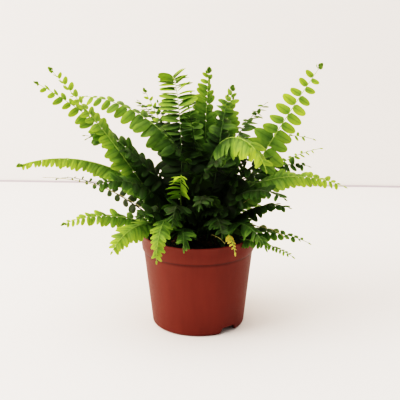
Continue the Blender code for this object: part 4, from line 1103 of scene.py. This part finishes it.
def see_from_front_only(look):
    """A set wall that a view from behind looks through, while the light still meets it."""
    tree = look.node_tree
    behind = put(tree, "NewGeometry").outputs["Backfacing"]
    seen = put(tree, "LightPath").outputs["Is Camera Ray"]
    open_side = put(tree, "Math", {0: behind, 1: seen}, operation="MULTIPLY")
    finish = tree.nodes["Principled BSDF"]
    shown = put(tree, "MixShader", {0: open_side, 1: finish, 2: put(tree, "BsdfTransparent")})
    wire(tree, tree.nodes["Material Output"], {"Surface": shown})


see_from_front_only(painted)
for piece in (floor, wall):
    piece.data.materials.append(painted)

# A thin grey strip where the tabletop meets the wall is painted shade in that corner.
bpy.ops.object.select_all(action="DESELECT")
bpy.ops.mesh.primitive_plane_add(size=1, location=(0, WALL_DISTANCE - 0.001, CORNER_SHADE_HEIGHT / 2),
                                 rotation=(math.radians(90), 0, WALL_TURN))
corner_shade_strip = bpy.context.object
corner_shade_strip.name = "painted_corner_shade"
corner_shade_strip.scale = (8, CORNER_SHADE_HEIGHT, 1)
corner_shade_look, tree, shader, place = begin_material("grey_painted_corner_shade")
corner_shade_mottle = put(tree, "TexNoise", {"Vector": place, "Scale": 6.0, "Detail": 3.0})
corner_shade_colour = put(tree, "ValToRGB", {"Fac": corner_shade_mottle}, stops=[(0.3, "#B3A6AE"), (0.7, "#C6BAC1")])
wire(tree, shader, {"Base Color": corner_shade_colour, "Roughness": 0.6})
see_from_front_only(corner_shade_look)
corner_shade_strip.data.materials.append(corner_shade_look)

world = bpy.data.worlds.new("pale_room")
world.use_nodes = True
world.node_tree.nodes["Background"].inputs["Color"].default_value = linear("#FFFFFF")
world.node_tree.nodes["Background"].inputs["Strength"].default_value = 0.37
bpy.context.scene.world = world


def soft_light(name, place, aim, size, watts, colour):
    lamp = bpy.data.lights.new(name, "AREA")
    lamp.shape = "RECTANGLE"
    lamp.size, lamp.size_y = size
    lamp.energy = watts
    lamp.color = linear(colour)[:3]
    made = bpy.data.objects.new(name, lamp)
    made.location = place
    made.rotation_euler = (Vector(aim) - Vector(place)).to_track_quat("-Z", "Y").to_euler()
    bpy.context.scene.collection.objects.link(made)


soft_light("window_left", (-1.9, -0.55, 1.15), (0.1, 0.1, 0.1), (1.7, 1.7), 36.0, "#FFF5EC")
soft_light("ceiling", (-0.1, -0.2, 2.1), (0.1, 0.1, 0.1), (2.0, 2.0), 18.0, "#FFF6EE")

# The camera stands a little above the plant and looks slightly down at it, from its front.
CAMERA_DISTANCE = 1.2
CAMERA_ELEVATION = 17.25
camera_data = bpy.data.cameras.new("camera")
camera_data.lens = 104.85
camera_data.sensor_width = 36.0
camera = bpy.data.objects.new("camera", camera_data)
aim = Vector((0.0019, 0.0, 0.1322))
tilt = math.radians(CAMERA_ELEVATION)
camera.location = aim + CAMERA_DISTANCE * Vector((0, -math.cos(tilt), math.sin(tilt)))
camera.rotation_euler = (aim - camera.location).to_track_quat("-Z", "Y").to_euler()
bpy.context.scene.collection.objects.link(camera)
bpy.context.scene.camera = camera
bpy.context.scene.view_settings.view_transform = "Filmic"
bpy.context.scene.view_settings.look = "Very High Contrast"
bpy.context.scene.view_settings.exposure = 0.75
